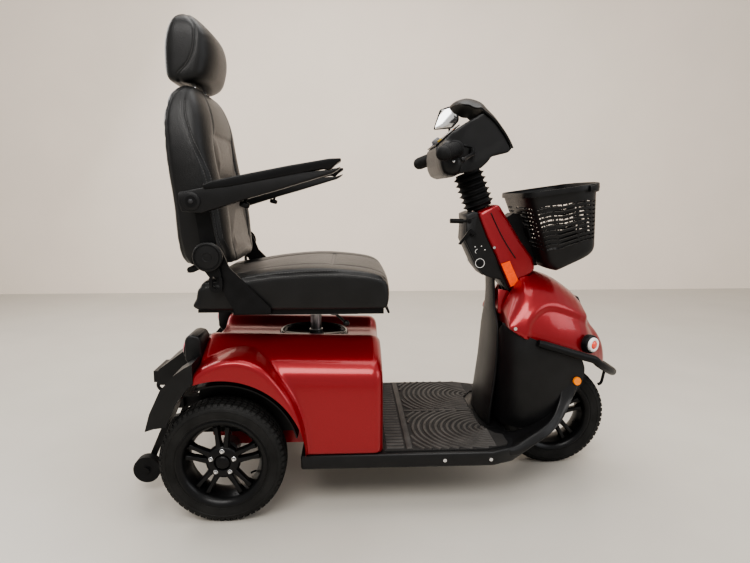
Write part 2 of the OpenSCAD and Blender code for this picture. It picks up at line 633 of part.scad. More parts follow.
module headrest_cushion() color([0.09, 0.09, 0.1]) intersection() {
  side([[-573, 1154], [-544, 1152], [-514, 1151], [-495, 1160], [-477, 1175], [-463, 1205], [-459, 1235], [-464, 1270], [-476, 1297],
    [-497, 1315], [-514, 1331], [-532, 1342], [-550, 1345], [-571, 1324], [-588, 1292], [-597, 1250], [-598, 1212], [-594, 1178]], -135, 135);
  face([[-70, 1150], [70, 1150], [116, 1172], [132, 1215], [132, 1272], [116, 1319], [76, 1343], [-76, 1343], [-116, 1319], [-132, 1272],
    [-132, 1215], [-116, 1172]], -700, -400);
}
module headrest_posts() color(sil) both() translate([-530, 60, 1060]) cylinder(r = 5, h = 150);

/* ---------------- basket ---------------- */

bk_side = [[475, 637], [498, 633], [632, 694], [630, 760], [620, 876], [394, 852]];
bk_face = [[-124, 600], [124, 600], [160, 900], [-160, 900]];
module bk_round(d) linear_extrude(height = 1000) polygon(inset([[360, -158], [400, -165], [520, -165], [584, -140],
  [620, -84], [632, 0], [620, 84], [584, 140], [520, 165], [400, 165], [360, 158]], d));
module basket() color(blk) difference() {
  union() {
    intersection() {
      side(bk_side, -170, 170);
      face(bk_face, 300, 700);
      bk_round(0);
    }
    // rolled rim and grab band
    intersection() {
      side([[398, 843], [618, 868], [622, 891], [390, 860]], -166, 166);
      bk_round(-2);
    }
  }
  intersection() {
    side([[478, 641.5], [497, 637.5], [628, 697], [625, 760], [616, 960], [362, 960], [398, 855]], -170, 170);
    face([[-119.5, 600], [119.5, 600], [157, 920], [-157, 920]], 300, 700);
    bk_round(4);
  }
  // slotted walls
  for (r = [0:5]) {
    for (x = [450, 502, 554]) translate([x + 3 - r * 3, -200, 730 + r * 17]) cube([38, 400, 7]);
    for (y = [-80, -24, 32]) translate([540, y, 730 + r * 17]) cube([200, 48, 7]);
    for (y = [-84, 44]) translate([370, y, 730 + r * 17]) cube([110, 40, 7]);
  }
}

main_frame();
floor_pan();
floor_mat();
rear_cover();
rear_guards();
lamp_housings();
rear_lamps();
rear_carrier();
anti_tip_arms();
transaxle();
batteries();
nose_cowl();
lamp_bezels();
lamp_lenses();
front_shells();
side_indicators();
leg_shield();
column_cover();
column_panel();
bumper_bar();
fasteners();
basket_bracket();
bellows();
fork();
front_tyre();
front_rim();
rear_tyre_right();
rear_rim_right();
rear_tyre_left();
rear_rim_left();
anti_tip_wheel_right();
anti_tip_wheel_left();
tiller_yoke();
head_shell();
head_hood();
dash_panel();
handlebar();
grips();
throttle_lever();
brake_lever();
speed_knob();
horn_button();
lamp_button();
mirror_housing();
mirror_glass();
tilt_lever();
bag_hook();
seat_post();
seat_pan();
seat_cushion();
bail_lever();
swivel_lever();
backrest_frame();
backrest_cushion();
recline_lever();
armrest_right();
armrest_left();
headrest_cushion();
headrest_posts();
basket();
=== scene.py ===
import bpy, bmesh, math, random
from mathutils import Vector, Matrix
from mathutils.bvhtree import BVHTree


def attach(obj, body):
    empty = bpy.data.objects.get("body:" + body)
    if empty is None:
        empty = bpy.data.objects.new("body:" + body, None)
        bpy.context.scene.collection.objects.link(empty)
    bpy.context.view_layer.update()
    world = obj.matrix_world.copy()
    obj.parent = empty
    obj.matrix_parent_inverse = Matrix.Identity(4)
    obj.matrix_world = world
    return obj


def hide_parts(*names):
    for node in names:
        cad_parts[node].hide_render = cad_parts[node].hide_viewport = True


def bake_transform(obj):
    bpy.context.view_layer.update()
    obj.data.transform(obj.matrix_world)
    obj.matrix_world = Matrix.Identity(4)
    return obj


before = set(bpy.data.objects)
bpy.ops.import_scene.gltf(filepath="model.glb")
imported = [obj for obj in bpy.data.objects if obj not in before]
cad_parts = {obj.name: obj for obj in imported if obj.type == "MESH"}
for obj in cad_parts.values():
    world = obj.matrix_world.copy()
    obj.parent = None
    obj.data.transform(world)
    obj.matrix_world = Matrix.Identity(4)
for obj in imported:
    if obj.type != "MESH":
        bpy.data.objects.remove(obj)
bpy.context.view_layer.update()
random.seed(7)
MM = 0.001
COL = bpy.context.scene.collection

# ------------------------------------------------------------------ materials
def node_tree(name):
    m = bpy.data.materials.new(name)
    m.use_nodes = True
    nt = m.node_tree
    bsdf = nt.nodes["Principled BSDF"]
    return m, nt, bsdf

def add(nt, kind, **kw):
    n = nt.nodes.new(kind)
    for k, v in kw.items():
        setattr(n, k, v)
    return n

def surface(name, col, rough, metal=0.0, vary=0.12, scale=60.0, bump=0.0, bump_scale=400.0, coat=0.0, coat_rough=0.05,
            rough_vary=0.08, spec=0.5, bump_kind="noise", dust=0.0, sheen=0.0):
    """Procedural finish: colour and roughness drift with noise, fine grain in the bump."""
    m, nt, b = node_tree(name)
    tc = add(nt, "ShaderNodeTexCoord")
    n1 = add(nt, "ShaderNodeTexNoise")
    n1.inputs["Scale"].default_value = scale
    n1.inputs["Detail"].default_value = 5
    nt.links.new(tc.outputs["Object"], n1.inputs["Vector"])
    r1 = add(nt, "ShaderNodeValToRGB")
    lo = tuple(max(0, c * (1 - vary)) for c in col) + (1,)
    hi = tuple(min(1, c * (1 + vary) + dust) for c in col) + (1,)
    r1.color_ramp.elements[0].position = 0.3
    r1.color_ramp.elements[1].position = 0.7
    r1.color_ramp.elements[0].color = lo
    r1.color_ramp.elements[1].color = hi
    nt.links.new(n1.outputs["Fac"], r1.inputs["Fac"])
    nt.links.new(r1.outputs["Color"], b.inputs["Base Color"])
    n2 = add(nt, "ShaderNodeTexNoise")
    n2.inputs["Scale"].default_value = scale * 0.35
    n2.inputs["Detail"].default_value = 6
    nt.links.new(tc.outputs["Object"], n2.inputs["Vector"])
    mr = add(nt, "ShaderNodeMapRange")
    mr.inputs["To Min"].default_value = max(0.02, rough - rough_vary)
    mr.inputs["To Max"].default_value = min(1.0, rough + rough_vary)
    nt.links.new(n2.outputs["Fac"], mr.inputs["Value"])
    nt.links.new(mr.outputs["Result"], b.inputs["Roughness"])
    b.inputs["Metallic"].default_value = metal
    b.inputs["Coat Weight"].default_value = coat
    b.inputs["Coat Roughness"].default_value = coat_rough
    b.inputs["Specular IOR Level"].default_value = spec
    if sheen:
        b.inputs["Sheen Weight"].default_value = sheen
    if bump > 0:
        bp = add(nt, "ShaderNodeBump")
        bp.inputs["Strength"].default_value = bump
        bp.inputs["Distance"].default_value = 0.0006
        if bump_kind == "voronoi":
            v = add(nt, "ShaderNodeTexVoronoi")
            v.inputs["Scale"].default_value = bump_scale
            nt.links.new(tc.outputs["Object"], v.inputs["Vector"])
            nt.links.new(v.outputs["Distance"], bp.inputs["Height"])
        else:
            v = add(nt, "ShaderNodeTexNoise")
            v.inputs["Scale"].default_value = bump_scale
            v.inputs["Detail"].default_value = 4
            nt.links.new(tc.outputs["Object"], v.inputs["Vector"])
            nt.links.new(v.outputs["Fac"], bp.inputs["Height"])
        nt.links.new(bp.outputs["Normal"], b.inputs["Normal"])
    return m

RED = surface("red_paint", (0.27, 0.009, 0.013), 0.31, metal=0.5, vary=0.18, scale=900, bump=0.05, bump_scale=1500, coat=0.45,
              coat_rough=0.08, rough_vary=0.05)
BLACK = surface("black_plastic", (0.0065, 0.0065, 0.007), 0.39, vary=0.2, scale=30, bump=0.3, bump_scale=1800, rough_vary=0.07, spec=0.33)
SATIN = surface("satin_black", (0.006, 0.006, 0.0065), 0.34, vary=0.2, scale=24, bump=0.12, bump_scale=1200, rough_vary=0.06, spec=0.22)
GLOSSB = surface("gloss_black", (0.006, 0.006, 0.0065), 0.16, vary=0.2, scale=24, bump=0.05, bump_scale=900, coat=0.5, rough_vary=0.04, spec=0.22)
STEELB = surface("black_powder_coat", (0.007, 0.007, 0.0075), 0.4, metal=0.1, vary=0.25, scale=40, bump=0.3, bump_scale=2200, spec=0.22)
RUBBER = surface("tyre_rubber", (0.0095, 0.0093, 0.009), 0.6, vary=0.3, scale=18, bump=0.5, bump_scale=900, dust=0.005, rough_vary=0.1, spec=0.22)
GRIP = surface("grip_rubber", (0.007, 0.007, 0.0075), 0.58, vary=0.25, scale=30, bump=0.6, bump_scale=1400, spec=0.22)
MAT = surface("mat_rubber", (0.034, 0.030, 0.027), 0.66, vary=0.22, scale=22, bump=0.6, bump_scale=900, dust=0.012, rough_vary=0.1)
LEATHER = surface("black_leather", (0.0078, 0.0077, 0.008), 0.34, vary=0.22, scale=16, bump=0.55, bump_scale=620, bump_kind="voronoi",
                  rough_vary=0.08, spec=0.34)
TAUPE = surface("taupe_leather", (0.060, 0.052, 0.046), 0.42, vary=0.14, scale=16, bump=0.55, bump_scale=620, bump_kind="voronoi",
                rough_vary=0.08)
THREAD = surface("thread", (0.12, 0.118, 0.115), 0.7, vary=0.15, scale=300, bump=0.3, bump_scale=3000)
STEEL = surface("brushed_steel", (0.42, 0.42, 0.42), 0.32, metal=1.0, vary=0.12, scale=120, bump=0.15, bump_scale=700, rough_vary=0.1)
BRIGHT = surface("bright_steel", (0.68, 0.68, 0.69), 0.22, metal=1.0, vary=0.08, scale=150, bump=0.08, bump_scale=900)
CAST = surface("cast_alloy", (0.33, 0.33, 0.34), 0.45, metal=0.9, vary=0.15, scale=70, bump=0.5, bump_scale=600)
GREY = surface("grey_plastic", (0.16, 0.16, 0.17), 0.45, vary=0.12, scale=40, bump=0.25, bump_scale=1500)
RIM = surface("rim_paint", (0.006, 0.006, 0.0065), 0.34, metal=0.25, vary=0.25, scale=40, bump=0.15, bump_scale=1600, coat=0.15, coat_rough=0.2, spec=0.22)
ORANGE = surface("orange_lens", (0.92, 0.09, 0.0), 0.26, vary=0.08, scale=120, bump=0.5, bump_scale=700, coat=0.35, bump_kind="voronoi")
AMBER = surface("amber_lens", (0.90, 0.24, 0.0), 0.26, vary=0.06, scale=120, bump=0.5, bump_scale=700, coat=0.35, bump_kind="voronoi")
PINK = surface("rear_lens", (0.62, 0.13, 0.19), 0.18, vary=0.12, scale=160, bump=0.5, bump_scale=520, coat=0.9, bump_kind="voronoi")
REDLENS = surface("red_lens", (0.80, 0.07, 0.035), 0.2, vary=0.1, scale=160, bump=0.5, bump_scale=520, coat=0.9, bump_kind="voronoi")
WHITE = surface("white_plastic", (0.82, 0.81, 0.79), 0.3, vary=0.04, scale=60, bump=0.1, bump_scale=900, coat=0.3)
MIRROR = surface("mirror_glass", (0.90, 0.90, 0.90), 0.12, metal=1.0, vary=0.02, scale=20, rough_vary=0.01)
SCREEN = surface("dark_screen", (0.012, 0.014, 0.016), 0.1, vary=0.1, scale=30, coat=1.0, rough_vary=0.03)
BLUE = surface("blue_key", (0.04, 0.12, 0.45), 0.3, vary=0.08, scale=60, bump=0.1, bump_scale=900)
YELLOW = surface("yellow_key", (0.62, 0.42, 0.04), 0.3, vary=0.08, scale=60, bump=0.1, bump_scale=900)
# mat base between the ribs: the same rubber as the ribs, coloured darker as painted shade in the grooves
MAT_GROOVE_SHADE = surface("mat_groove_painted_shade", (0.011, 0.010, 0.0095), 0.8, vary=0.3, scale=22, bump=0.5, bump_scale=900, rough_vary=0.08)
DGREY = surface("dark_grey_plastic", (0.03, 0.03, 0.032), 0.4, vary=0.15, scale=40, bump=0.25, bump_scale=1500, spec=0.22)
CASE = surface("battery_case", (0.03, 0.03, 0.035), 0.5, vary=0.15, scale=50, bump=0.3, bump_scale=1200)

# ------------------------------------------------------------------ mesh helpers (inputs in millimetres)
def mesh_obj(name, verts, faces, mat, smooth=True, scale=MM):
    me = bpy.data.meshes.new(name)
    me.from_pydata([tuple(c * scale for c in v) for v in verts], [], faces)
    me.update()
    o = bpy.data.objects.new(name, me)
    COL.objects.link(o)
    for m in (mat if isinstance(mat, (list, tuple)) else [mat]):
        me.materials.append(m)
    if smooth:
        me.polygons.foreach_set("use_smooth", [True] * len(me.polygons))
    bm = bmesh.new(); bm.from_mesh(me)
    bmesh.ops.recalc_face_normals(bm, faces=bm.faces)
    bm.to_mesh(me); bm.free()
    return o

def apply_all(o):
    dg = bpy.context.evaluated_depsgraph_get()
    dg.update()
    e = o.evaluated_get(dg)
    me = bpy.data.meshes.new_from_object(e, preserve_all_data_layers=True, depsgraph=dg)
    o.modifiers.clear()
    old = o.data
    o.data = me
    me.name = o.name
    if old.users == 0:
        bpy.data.meshes.remove(old)
    return o

def bevel(o, w, seg=3, angle=32, harden=True):
    md = o.modifiers.new("bevel", "BEVEL")
    md.width = w * MM
    md.segments = seg
    md.limit_method = "ANGLE"
    md.angle_limit = math.radians(angle)
    md.harden_normals = harden
    md.miter_outer = "MITER_ARC"
    return o

def smooth_angle(o, deg=40):
    me = o.data
    me.polygons.foreach_set("use_smooth", [True] * len(me.polygons))
    bm = bmesh.new(); bm.from_mesh(me)
    lim = math.radians(deg)
    for e in bm.edges:
        if len(e.link_faces) == 2 and e.calc_face_angle(0) > lim:
            e.smooth = False
    bm.to_mesh(me); bm.free()
    return o

def sub(o, n=1):
    md = o.modifiers.new("sub", "SUBSURF"); md.levels = n; md.render_levels = n
    return o

def solidify(o, t, offset=-1.0):
    md = o.modifiers.new("sol", "SOLIDIFY"); md.thickness = t * MM; md.offset = offset
    md.use_even_offset = True
    return o

def remesh(o, size):
    md = o.modifiers.new("rm", "REMESH"); md.mode = "VOXEL"; md.voxel_size = size * MM
    md.use_smooth_shade = True
    return o

def relax(o, it=10, f=0.5):
    md = o.modifiers.new("smooth", "SMOOTH"); md.iterations = it; md.factor = f
    return o

def cut(o, cutter, solver="EXACT", keep=False):
    md = o.modifiers.new("cut", "BOOLEAN"); md.operation = "DIFFERENCE"; md.object = cutter; md.solver = solver
    apply_all(o)
    if not keep:
        bpy.data.objects.remove(cutter, do_unlink=True)
    return o

def join(name, objs, mats=None):
    """Several meshes in one object, materials kept."""
    bm = bmesh.new()
    mlist = []
    for o in objs:
        idx = []
        for m in o.data.materials:
            if m not in mlist:
                mlist.append(m)
            idx.append(mlist.index(m))
        tmp = o.data.copy()
        tmp.transform(o.matrix_world)
        for p in tmp.polygons:
            p.material_index = idx[p.material_index] if idx else 0
        bm.from_mesh(tmp)
        bpy.data.meshes.remove(tmp)
    me = bpy.data.meshes.new(name)
    bm.to_mesh(me); bm.free()
    for m in mlist:
        me.materials.append(m)
    for o in objs:
        bpy.data.objects.remove(o, do_unlink=True)
    n = bpy.data.objects.new(name, me)
    COL.objects.link(n)
    return n

def poly_area(p):
    return sum(p[i][0] * p[(i + 1) % len(p)][1] - p[(i + 1) % len(p)][0] * p[i][1] for i in range(len(p))) / 2

def prism(name, pts, y0, y1, mat, bev=0, seg=3):
    """Profile in X and Z, running from y0 to y1."""
    if poly_area(pts) < 0:
        pts = pts[::-1]
    n = len(pts)
    v = [(x, y0, z) for x, z in pts] + [(x, y1, z) for x, z in pts]
    f = [list(range(n)), list(range(2 * n - 1, n - 1, -1))] + [[i, n + i, n + (i + 1) % n, (i + 1) % n] for i in range(n)]
    o = mesh_obj(name, v, f, mat, smooth=False)
    if bev:
        bevel(o, bev, seg)
        apply_all(o)
        smooth_angle(o, 50)
    return o

def box_obj(name, lo, hi, mat, bev=0, seg=3):
    return prism(name, [(lo[0], lo[2]), (hi[0], lo[2]), (hi[0], hi[2]), (lo[0], hi[2])], lo[1], hi[1], mat, bev, seg)

def loft(name, rings, mat, cap=True, closed=True, smooth=True):
    n = len(rings[0])
    v = [p for r in rings for p in r]
    f = []
    m = n if closed else n - 1
    for i in range(len(rings) - 1):
        for j in range(m):
            a, b = i * n + j, i * n + (j + 1) % n
            f.append([a, b, b + n, a + n])
    if cap and closed:
        f.append(list(range(n))[::-1])
        f.append(list(range((len(rings) - 1) * n, len(rings) * n)))
    return mesh_obj(name, v, f, mat, smooth)

def revolve(name, prof, mat, origin, axis, n=96, closed=False):
    """prof is a list of (radius, height) turned about axis through origin."""
    a = Vector(axis).normalized()
    t = Vector((0, 0, 1)) if abs(a.z) < 0.9 else Vector((1, 0, 0))
    u = a.cross(t).normalized(); w = a.cross(u)
    o = Vector(origin)
    rings = []
    for r, h in prof:
        rings.append([tuple(o + a * h + (u * math.cos(2 * math.pi * k / n) + w * math.sin(2 * math.pi * k / n)) * r) for k in range(n)])
    if closed:
        rings.append(rings[0])
    return loft(name, rings, mat, cap=not closed)

def catmull(p, per=8, closed=False):
    p = [Vector(q) for q in p]
    out = []
    n = len(p)
    rng = range(n if closed else n - 1)
    for i in rng:
        p0 = p[(i - 1) % n] if (closed or i > 0) else p[0] * 2 - p[1]
        p1, p2 = p[i % n], p[(i + 1) % n]
        p3 = p[(i + 2) % n] if (closed or i + 2 < n) else p[-1] * 2 - p[-2]
        for k in range(per):
            t = k / per
            out.append(0.5 * ((2 * p1) + (p2 - p0) * t + (2 * p0 - 5 * p1 + 4 * p2 - p3) * t * t + (3 * p1 - p0 - 3 * p2 + p3) * t ** 3))
    if not closed:
        out.append(p[-1])
    return out

def tube(name, pts, r, mat, n=16, per=6, smooth_path=True, closed=False):
    path = catmull(pts, per, closed) if smooth_path else [Vector(p) for p in pts]
    rings = []
    up = None
    m = len(path)
    for i, p in enumerate(path):
        if closed:
            d = (path[(i + 1) % m] - path[(i - 1) % m]).normalized()
        else:
            d = (path[min(i + 1, m - 1)] - path[max(i - 1, 0)]).normalized()
        if up is None:
            up = Vector((0, 0, 1)) if abs(d.z) < 0.9 else Vector((1, 0, 0))
        s = d.cross(up).normalized(); up = s.cross(d).normalized()
        rr = r(i / (m - 1)) if callable(r) else r
        rings.append([tuple(p + (s * math.cos(2 * math.pi * k / n) + up * math.sin(2 * math.pi * k / n)) * rr) for k in range(n)])
    if closed:
        rings.append(rings[0])
    return loft(name, rings, mat, cap=not closed)

def lerp_tab(tab, x):
    if x <= tab[0][0]:
        return tab[0][1]
    for (a, va), (b, vb) in zip(tab, tab[1:]):
        if x <= b:
            t = (x - a) / (b - a)
            return va + (vb - va) * t
    return tab[-1][1]

def smooth_tab(tab, x):
    """Cubic through the table's points."""
    n = len(tab)
    if x <= tab[0][0]:
        return tab[0][1]
    if x >= tab[-1][0]:
        return tab[-1][1]
    for i in range(n - 1):
        if x <= tab[i + 1][0]:
            x0, y0 = tab[i]; x1, y1 = tab[i + 1]
            m0 = ((y1 - (tab[i - 1][1] if i else y0)) / (x1 - (tab[i - 1][0] if i else x0)))
            m1 = (((tab[i + 2][1] if i + 2 < n else y1) - y0) / ((tab[i + 2][0] if i + 2 < n else x1) - x0))
            h = x1 - x0; t = (x - x0) / h
            return ((2 * t ** 3 - 3 * t * t + 1) * y0 + (t ** 3 - 2 * t * t + t) * h * m0 + (-2 * t ** 3 + 3 * t * t) * y1 + (t ** 3 - t * t) * h * m1)

def sstep(a, b, x):
    t = min(1, max(0, (x - a) / (b - a)))
    return t * t * (3 - 2 * t)

def mirror_y(o, name):
    me = o.data.copy()
    n = bpy.data.objects.new(name, me)
    COL.objects.link(n)
    me.transform(Matrix.Scale(-1, 4, (0, 1, 0)))
    me.flip_normals()
    return n

AX = math.radians(20.7)
XF, ZR, XR = 540.0, 165.0, -437.0
AXV = Vector((-math.sin(AX), 0, math.cos(AX)))
def P(s):
    return Vector((XF - s * math.sin(AX), 0, ZR + s * math.cos(AX)))

def ride(o, body):
    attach(o, body)
    return o

def paint(node, mat, bev=0.0, seg=2, angle=35):
    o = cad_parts[node]
    o.data.materials.clear()
    o.data.materials.append(mat)
    if bev:
        bevel(o, bev, seg, angle)
    return o

# ------------------------------------------------------------------ rear cover
COVER_SEC = [(0, 434), (40, 434), (62, 436), (80, 441), (100, 452), (122, 460), (150, 457.5), (200, 441), (240, 424), (262, 408), (277, 386),
             (284, 352), (288, 300), (291, 230), (292, 172)]
def rear_cover():
    sec = catmull([(y, z, 0) for y, z in COVER_SEC], 4)
    half = [(p[0], p[1]) for p in sec]
    full = [(-y, z) for y, z in half[::-1]] + half[1:]
    full = full + [(288, 166), (-288, 166)]
    xs = [-500, -497, -490, -470] + list(range(-440, -60, 30)) + [-52, -38, -28, -21, -16, -14]
    rings = []
    for x in xs:
        e = 0
        if x > -40:
            e = 26 * (1 - math.sqrt(max(0, 1 - ((x + 40) / 26) ** 2)))
        if x < -490:
            e = 8 * (1 - math.sqrt(max(0, 1 - ((-490 - x) / 10) ** 2)))
        ring = []
        for y, z in full:
            k = (z - 166) / 268
            zz = z - (x + 250) * 0.0244 * k - e * (1 if z > 400 else 0.55 * k)
            yy = y * (1 - e / 292)
            ring.append((x, yy, zz))
        rings.append(ring)
    body = loft("cover_body", rings, RED)
    parts = [body]
    crease = [(-506, 399), (-496, 410), (-478, 422), (-459, 431), (-424, 441), (-388, 443), (-353, 435), (-318, 414), (-283, 373), (-252, 324),
              (-231, 268), (-222, 215), (-219, 170)]
    top = [(p[0], p[1]) for p in catmull([(x, z, 0) for x, z in crease], 4)]
    cx, cz = -432, 190
    for s in (-1, 1):
        rings = []
        for y, g in [(200, 3), (262, 3), (292, 1.5), (308, 0), (317, -2.5), (323, -6), (326.5, -13)]:
            ring = []
            for x, z in top:
                d = math.hypot(x - cx, z - cz)
                ring.append((cx + (x - cx) * (d + g) / d, s * y, cz + (z - cz) * (d + g) / d))
            ring.append((-300, s * y, 170)); ring.append((-506, s * y, 170))
            rings.append(ring if s > 0 else ring[::-1])
        parts.append(loft("fender", rings, RED))
    o = join("rear_cover_shell", parts)
    remesh(o, 4.0); relax(o, 7, 0.55); apply_all(o)
    # wheel arches, seat well and the open space behind the wheels
    for s in (-1, 1):
        c = revolve("c", [(213, 0), (213, 200)], RED, (-434, 205 * s, 176), (0, s, 0), 120)
        cut(o, c, "FAST")
        c = box_obj("c", (-540, min(150 * s, 400 * s), 100), (-434, max(150 * s, 400 * s), 378), RED)
        cut(o, c, "FAST")
    c = revolve("c", [(97, 0), (97, 200)], RED, (-213, 0, 330), (0, 0, 1), 96)
    cut(o, c, "FAST")
    smooth_angle(o, 38)
    ride(o, "chassis"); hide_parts("rear_cover")
    # glossy rim and dark well round the seat post
    rim = revolve("seat_well_rim", [(95, -8), (95.5, 6), (97.5, 8.5), (101, 8.5), (104.5, 5), (106, -2), (106, -10)], GLOSSB, (-213, 0, 435.5), (0.0244, 0, 1), 96)
    ride(rim, "chassis")
    well = revolve("seat_well_liner", [(96.6, 100), (96.2, 0), (30, -2), (30, 4), (94.5, 6), (94.8, 100)], BLACK, (-213, 0, 332), (0, 0, 1), 72, closed=True)
    ride(well, "chassis")
    return o

# ------------------------------------------------------------------ nose
def nose():
    top = [(352, 520), (372, 566), (392, 604), (410, 626), (440, 629), (459, 626), (502, 613), (533, 597), (562, 576), (593, 551), (607, 529), (622, 492), (635, 471),
           (661, 443), (682, 414), (694, 387), (700, 357), (702, 334)]
    bot = [(352, 476), (379, 457), (432, 434), (500, 414), (568, 394), (640, 361), (680, 337), (702, 326)]
    wid = [(352, 171), (380, 175), (430, 178), (500, 174), (568, 157), (620, 129), (660, 91), (688, 47), (702, 6)]
    xs = [352, 358, 366, 376, 390, 405, 425, 450, 475, 500, 525, 550, 575, 600, 620, 640, 660, 675, 686, 694, 699, 701.5]
    rings = []
    N = 44
    for x in xs:
        zt, zb, w = smooth_tab(top, x), lerp_tab(bot, x), smooth_tab(wid, x)
        zt = max(zt, zb + 6)
        ring = []
        for k in range(N + 1):
            a = math.pi * k / N
            c, s = math.cos(a), math.sin(a)
            ex = 2 / 2.15
            ring.append((x, w * math.copysign(abs(c) ** ex, c), zb + (zt - zb) * abs(s) ** ex))
        for k in range(1, 8):
            t = k / 8
            ring.append((x, -w + 2 * w * t, zb - 1))
        rings.append(ring)
    o = loft("nose_body", rings, RED)
    parts = [o]
    o = join("nose_shell", parts)
    remesh(o, 4.0); relax(o, 6, 0.5); apply_all(o)
    # side panels stepped in below a rolled crease
    crease = [(398, 380), (404, 455), (409, 487), (421, 508), (440, 525), (469, 536), (509, 530), (574, 505), (640, 470), (690, 420)]
    cr = [(q[0], q[1]) for q in catmull([(x, z, 0) for x, z in crease], 5)]
    nrm = [v.normal.copy() for v in o.data.vertices]
    for v in o.data.vertices:
        c = v.co / MM
        if abs(c.y) < 45:
            continue
        best, side = 9e9, 1
        for a, b in zip(cr, cr[1:]):
            dx, dz = b[0] - a[0], b[1] - a[1]
            t = max(0, min(1, ((c.x - a[0]) * dx + (c.z - a[1]) * dz) / (dx * dx + dz * dz)))
            px, pz = a[0] + dx * t - c.x, a[1] + dz * t - c.z
            d = math.hypot(px, pz)
            if d < best:
                best = d
                side = 1 if dx * (c.z - a[1]) - dz * (c.x - a[0]) > 0 else -1
        sd = best * side
        fade = sstep(45, 85, abs(c.y)) * (1 - sstep(640, 700, c.x))
        v.co -= nrm[v.index] * (MM * fade * (7.5 * (1 - sstep(-14, 5, sd)) - 2.0 * math.exp(-((sd - 9) / 9) ** 2)))
    o.data.update()
    relax(o, 2, 0.4); apply_all(o)
    # room for the column foot and the underside
    c = prism("c", [(330, 500), (362, 500), (398, 566), (405, 578), (430, 606), (457, 633), (470, 700), (330, 700)], -72, 72, RED)
    cut(o, c, "FAST")
    smooth_angle(o, 38)
    ride(o, "chassis"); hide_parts("nose_cowl")
    for s in (-1, 1):
        q = prism("nose_infill_" + ("right" if s < 0 else "left"), [(346 if s < 0 else 374, 500), (380, 488), (404, 560), (388, 566), (346 if s < 0 else 374, 574)], *sorted((50 * s, 55 * s)), RED, 1.5)
        ride(q, "chassis")
    return o

# ------------------------------------------------------------------ black knee shells
SHELL_L = [(180, 352), (186, 344), (196, 339), (210, 336), (230, 333), (255, 332), (285, 332), (325, 333), (361, 335), (395, 337), (425, 340), (448, 344), (468, 349), (478, 353)]
SHELL_R = [(180, 398), (186, 416), (196, 436), (206, 452), (220, 474), (240, 498), (256, 516), (270, 536), (286, 554), (306, 568), (330, 576), (352, 578), (368, 574), (384, 566),
           (398, 545), (414, 510), (430, 470), (446, 425), (462, 385), (478, 350)]
def knee_shells():
    for s, nm in ((-1, "right"), (1, "left")):
        rings = []
        zs = [180, 182, 186, 192, 200, 209, 219, 232, 246, 260, 274, 288, 302, 316, 330, 344, 358, 370, 382, 394, 406, 418, 430, 442, 454, 466, 478]
        N = 26
        for z in zs:
            xl, xr = smooth_tab(SHELL_L, z), smooth_tab(SHELL_R, z)
            ring = []
            for k in range(N + 1):
                t = k / N
                x = xl + (xr - xl) * t
                plan = smooth_tab([(330, 50), (334, 66), (342, 92), (354, 126), (386, 163), (430, 176), (480, 173), (530, 164), (580, 152)], x)
                ed = 1 - (2 * sstep(0.0, 1, abs(z - 320) / 150) * 0.5) ** 3 * 0.0
                crown = 6 * (1 - ((z - 330) / 150) ** 2) - 8 * sstep(396, 478, z) - 6 * (1 - sstep(180, 215, z))
                ring.append((x, s * (plan - 5 + crown * 0.8), z))
            rings.append(ring)
        o = loft("knee_shell_" + nm, rings, BLACK, closed=False)
        solidify(o, 9, 1.0 if s < 0 else 1.0)
        apply_all(o)
        bm = bmesh.new(); bm.from_mesh(o.data); bmesh.ops.recalc_face_normals(bm, faces=bm.faces); bm.to_mesh(o.data); bm.free()
        bevel(o, 3.5, 3, 60); apply_all(o)
        smooth_angle(o, 40)
        # ride with the chassis
        ride(o, "chassis")
        yield o

def front_shells():
    made = list(knee_shells())
    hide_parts("front_shells")

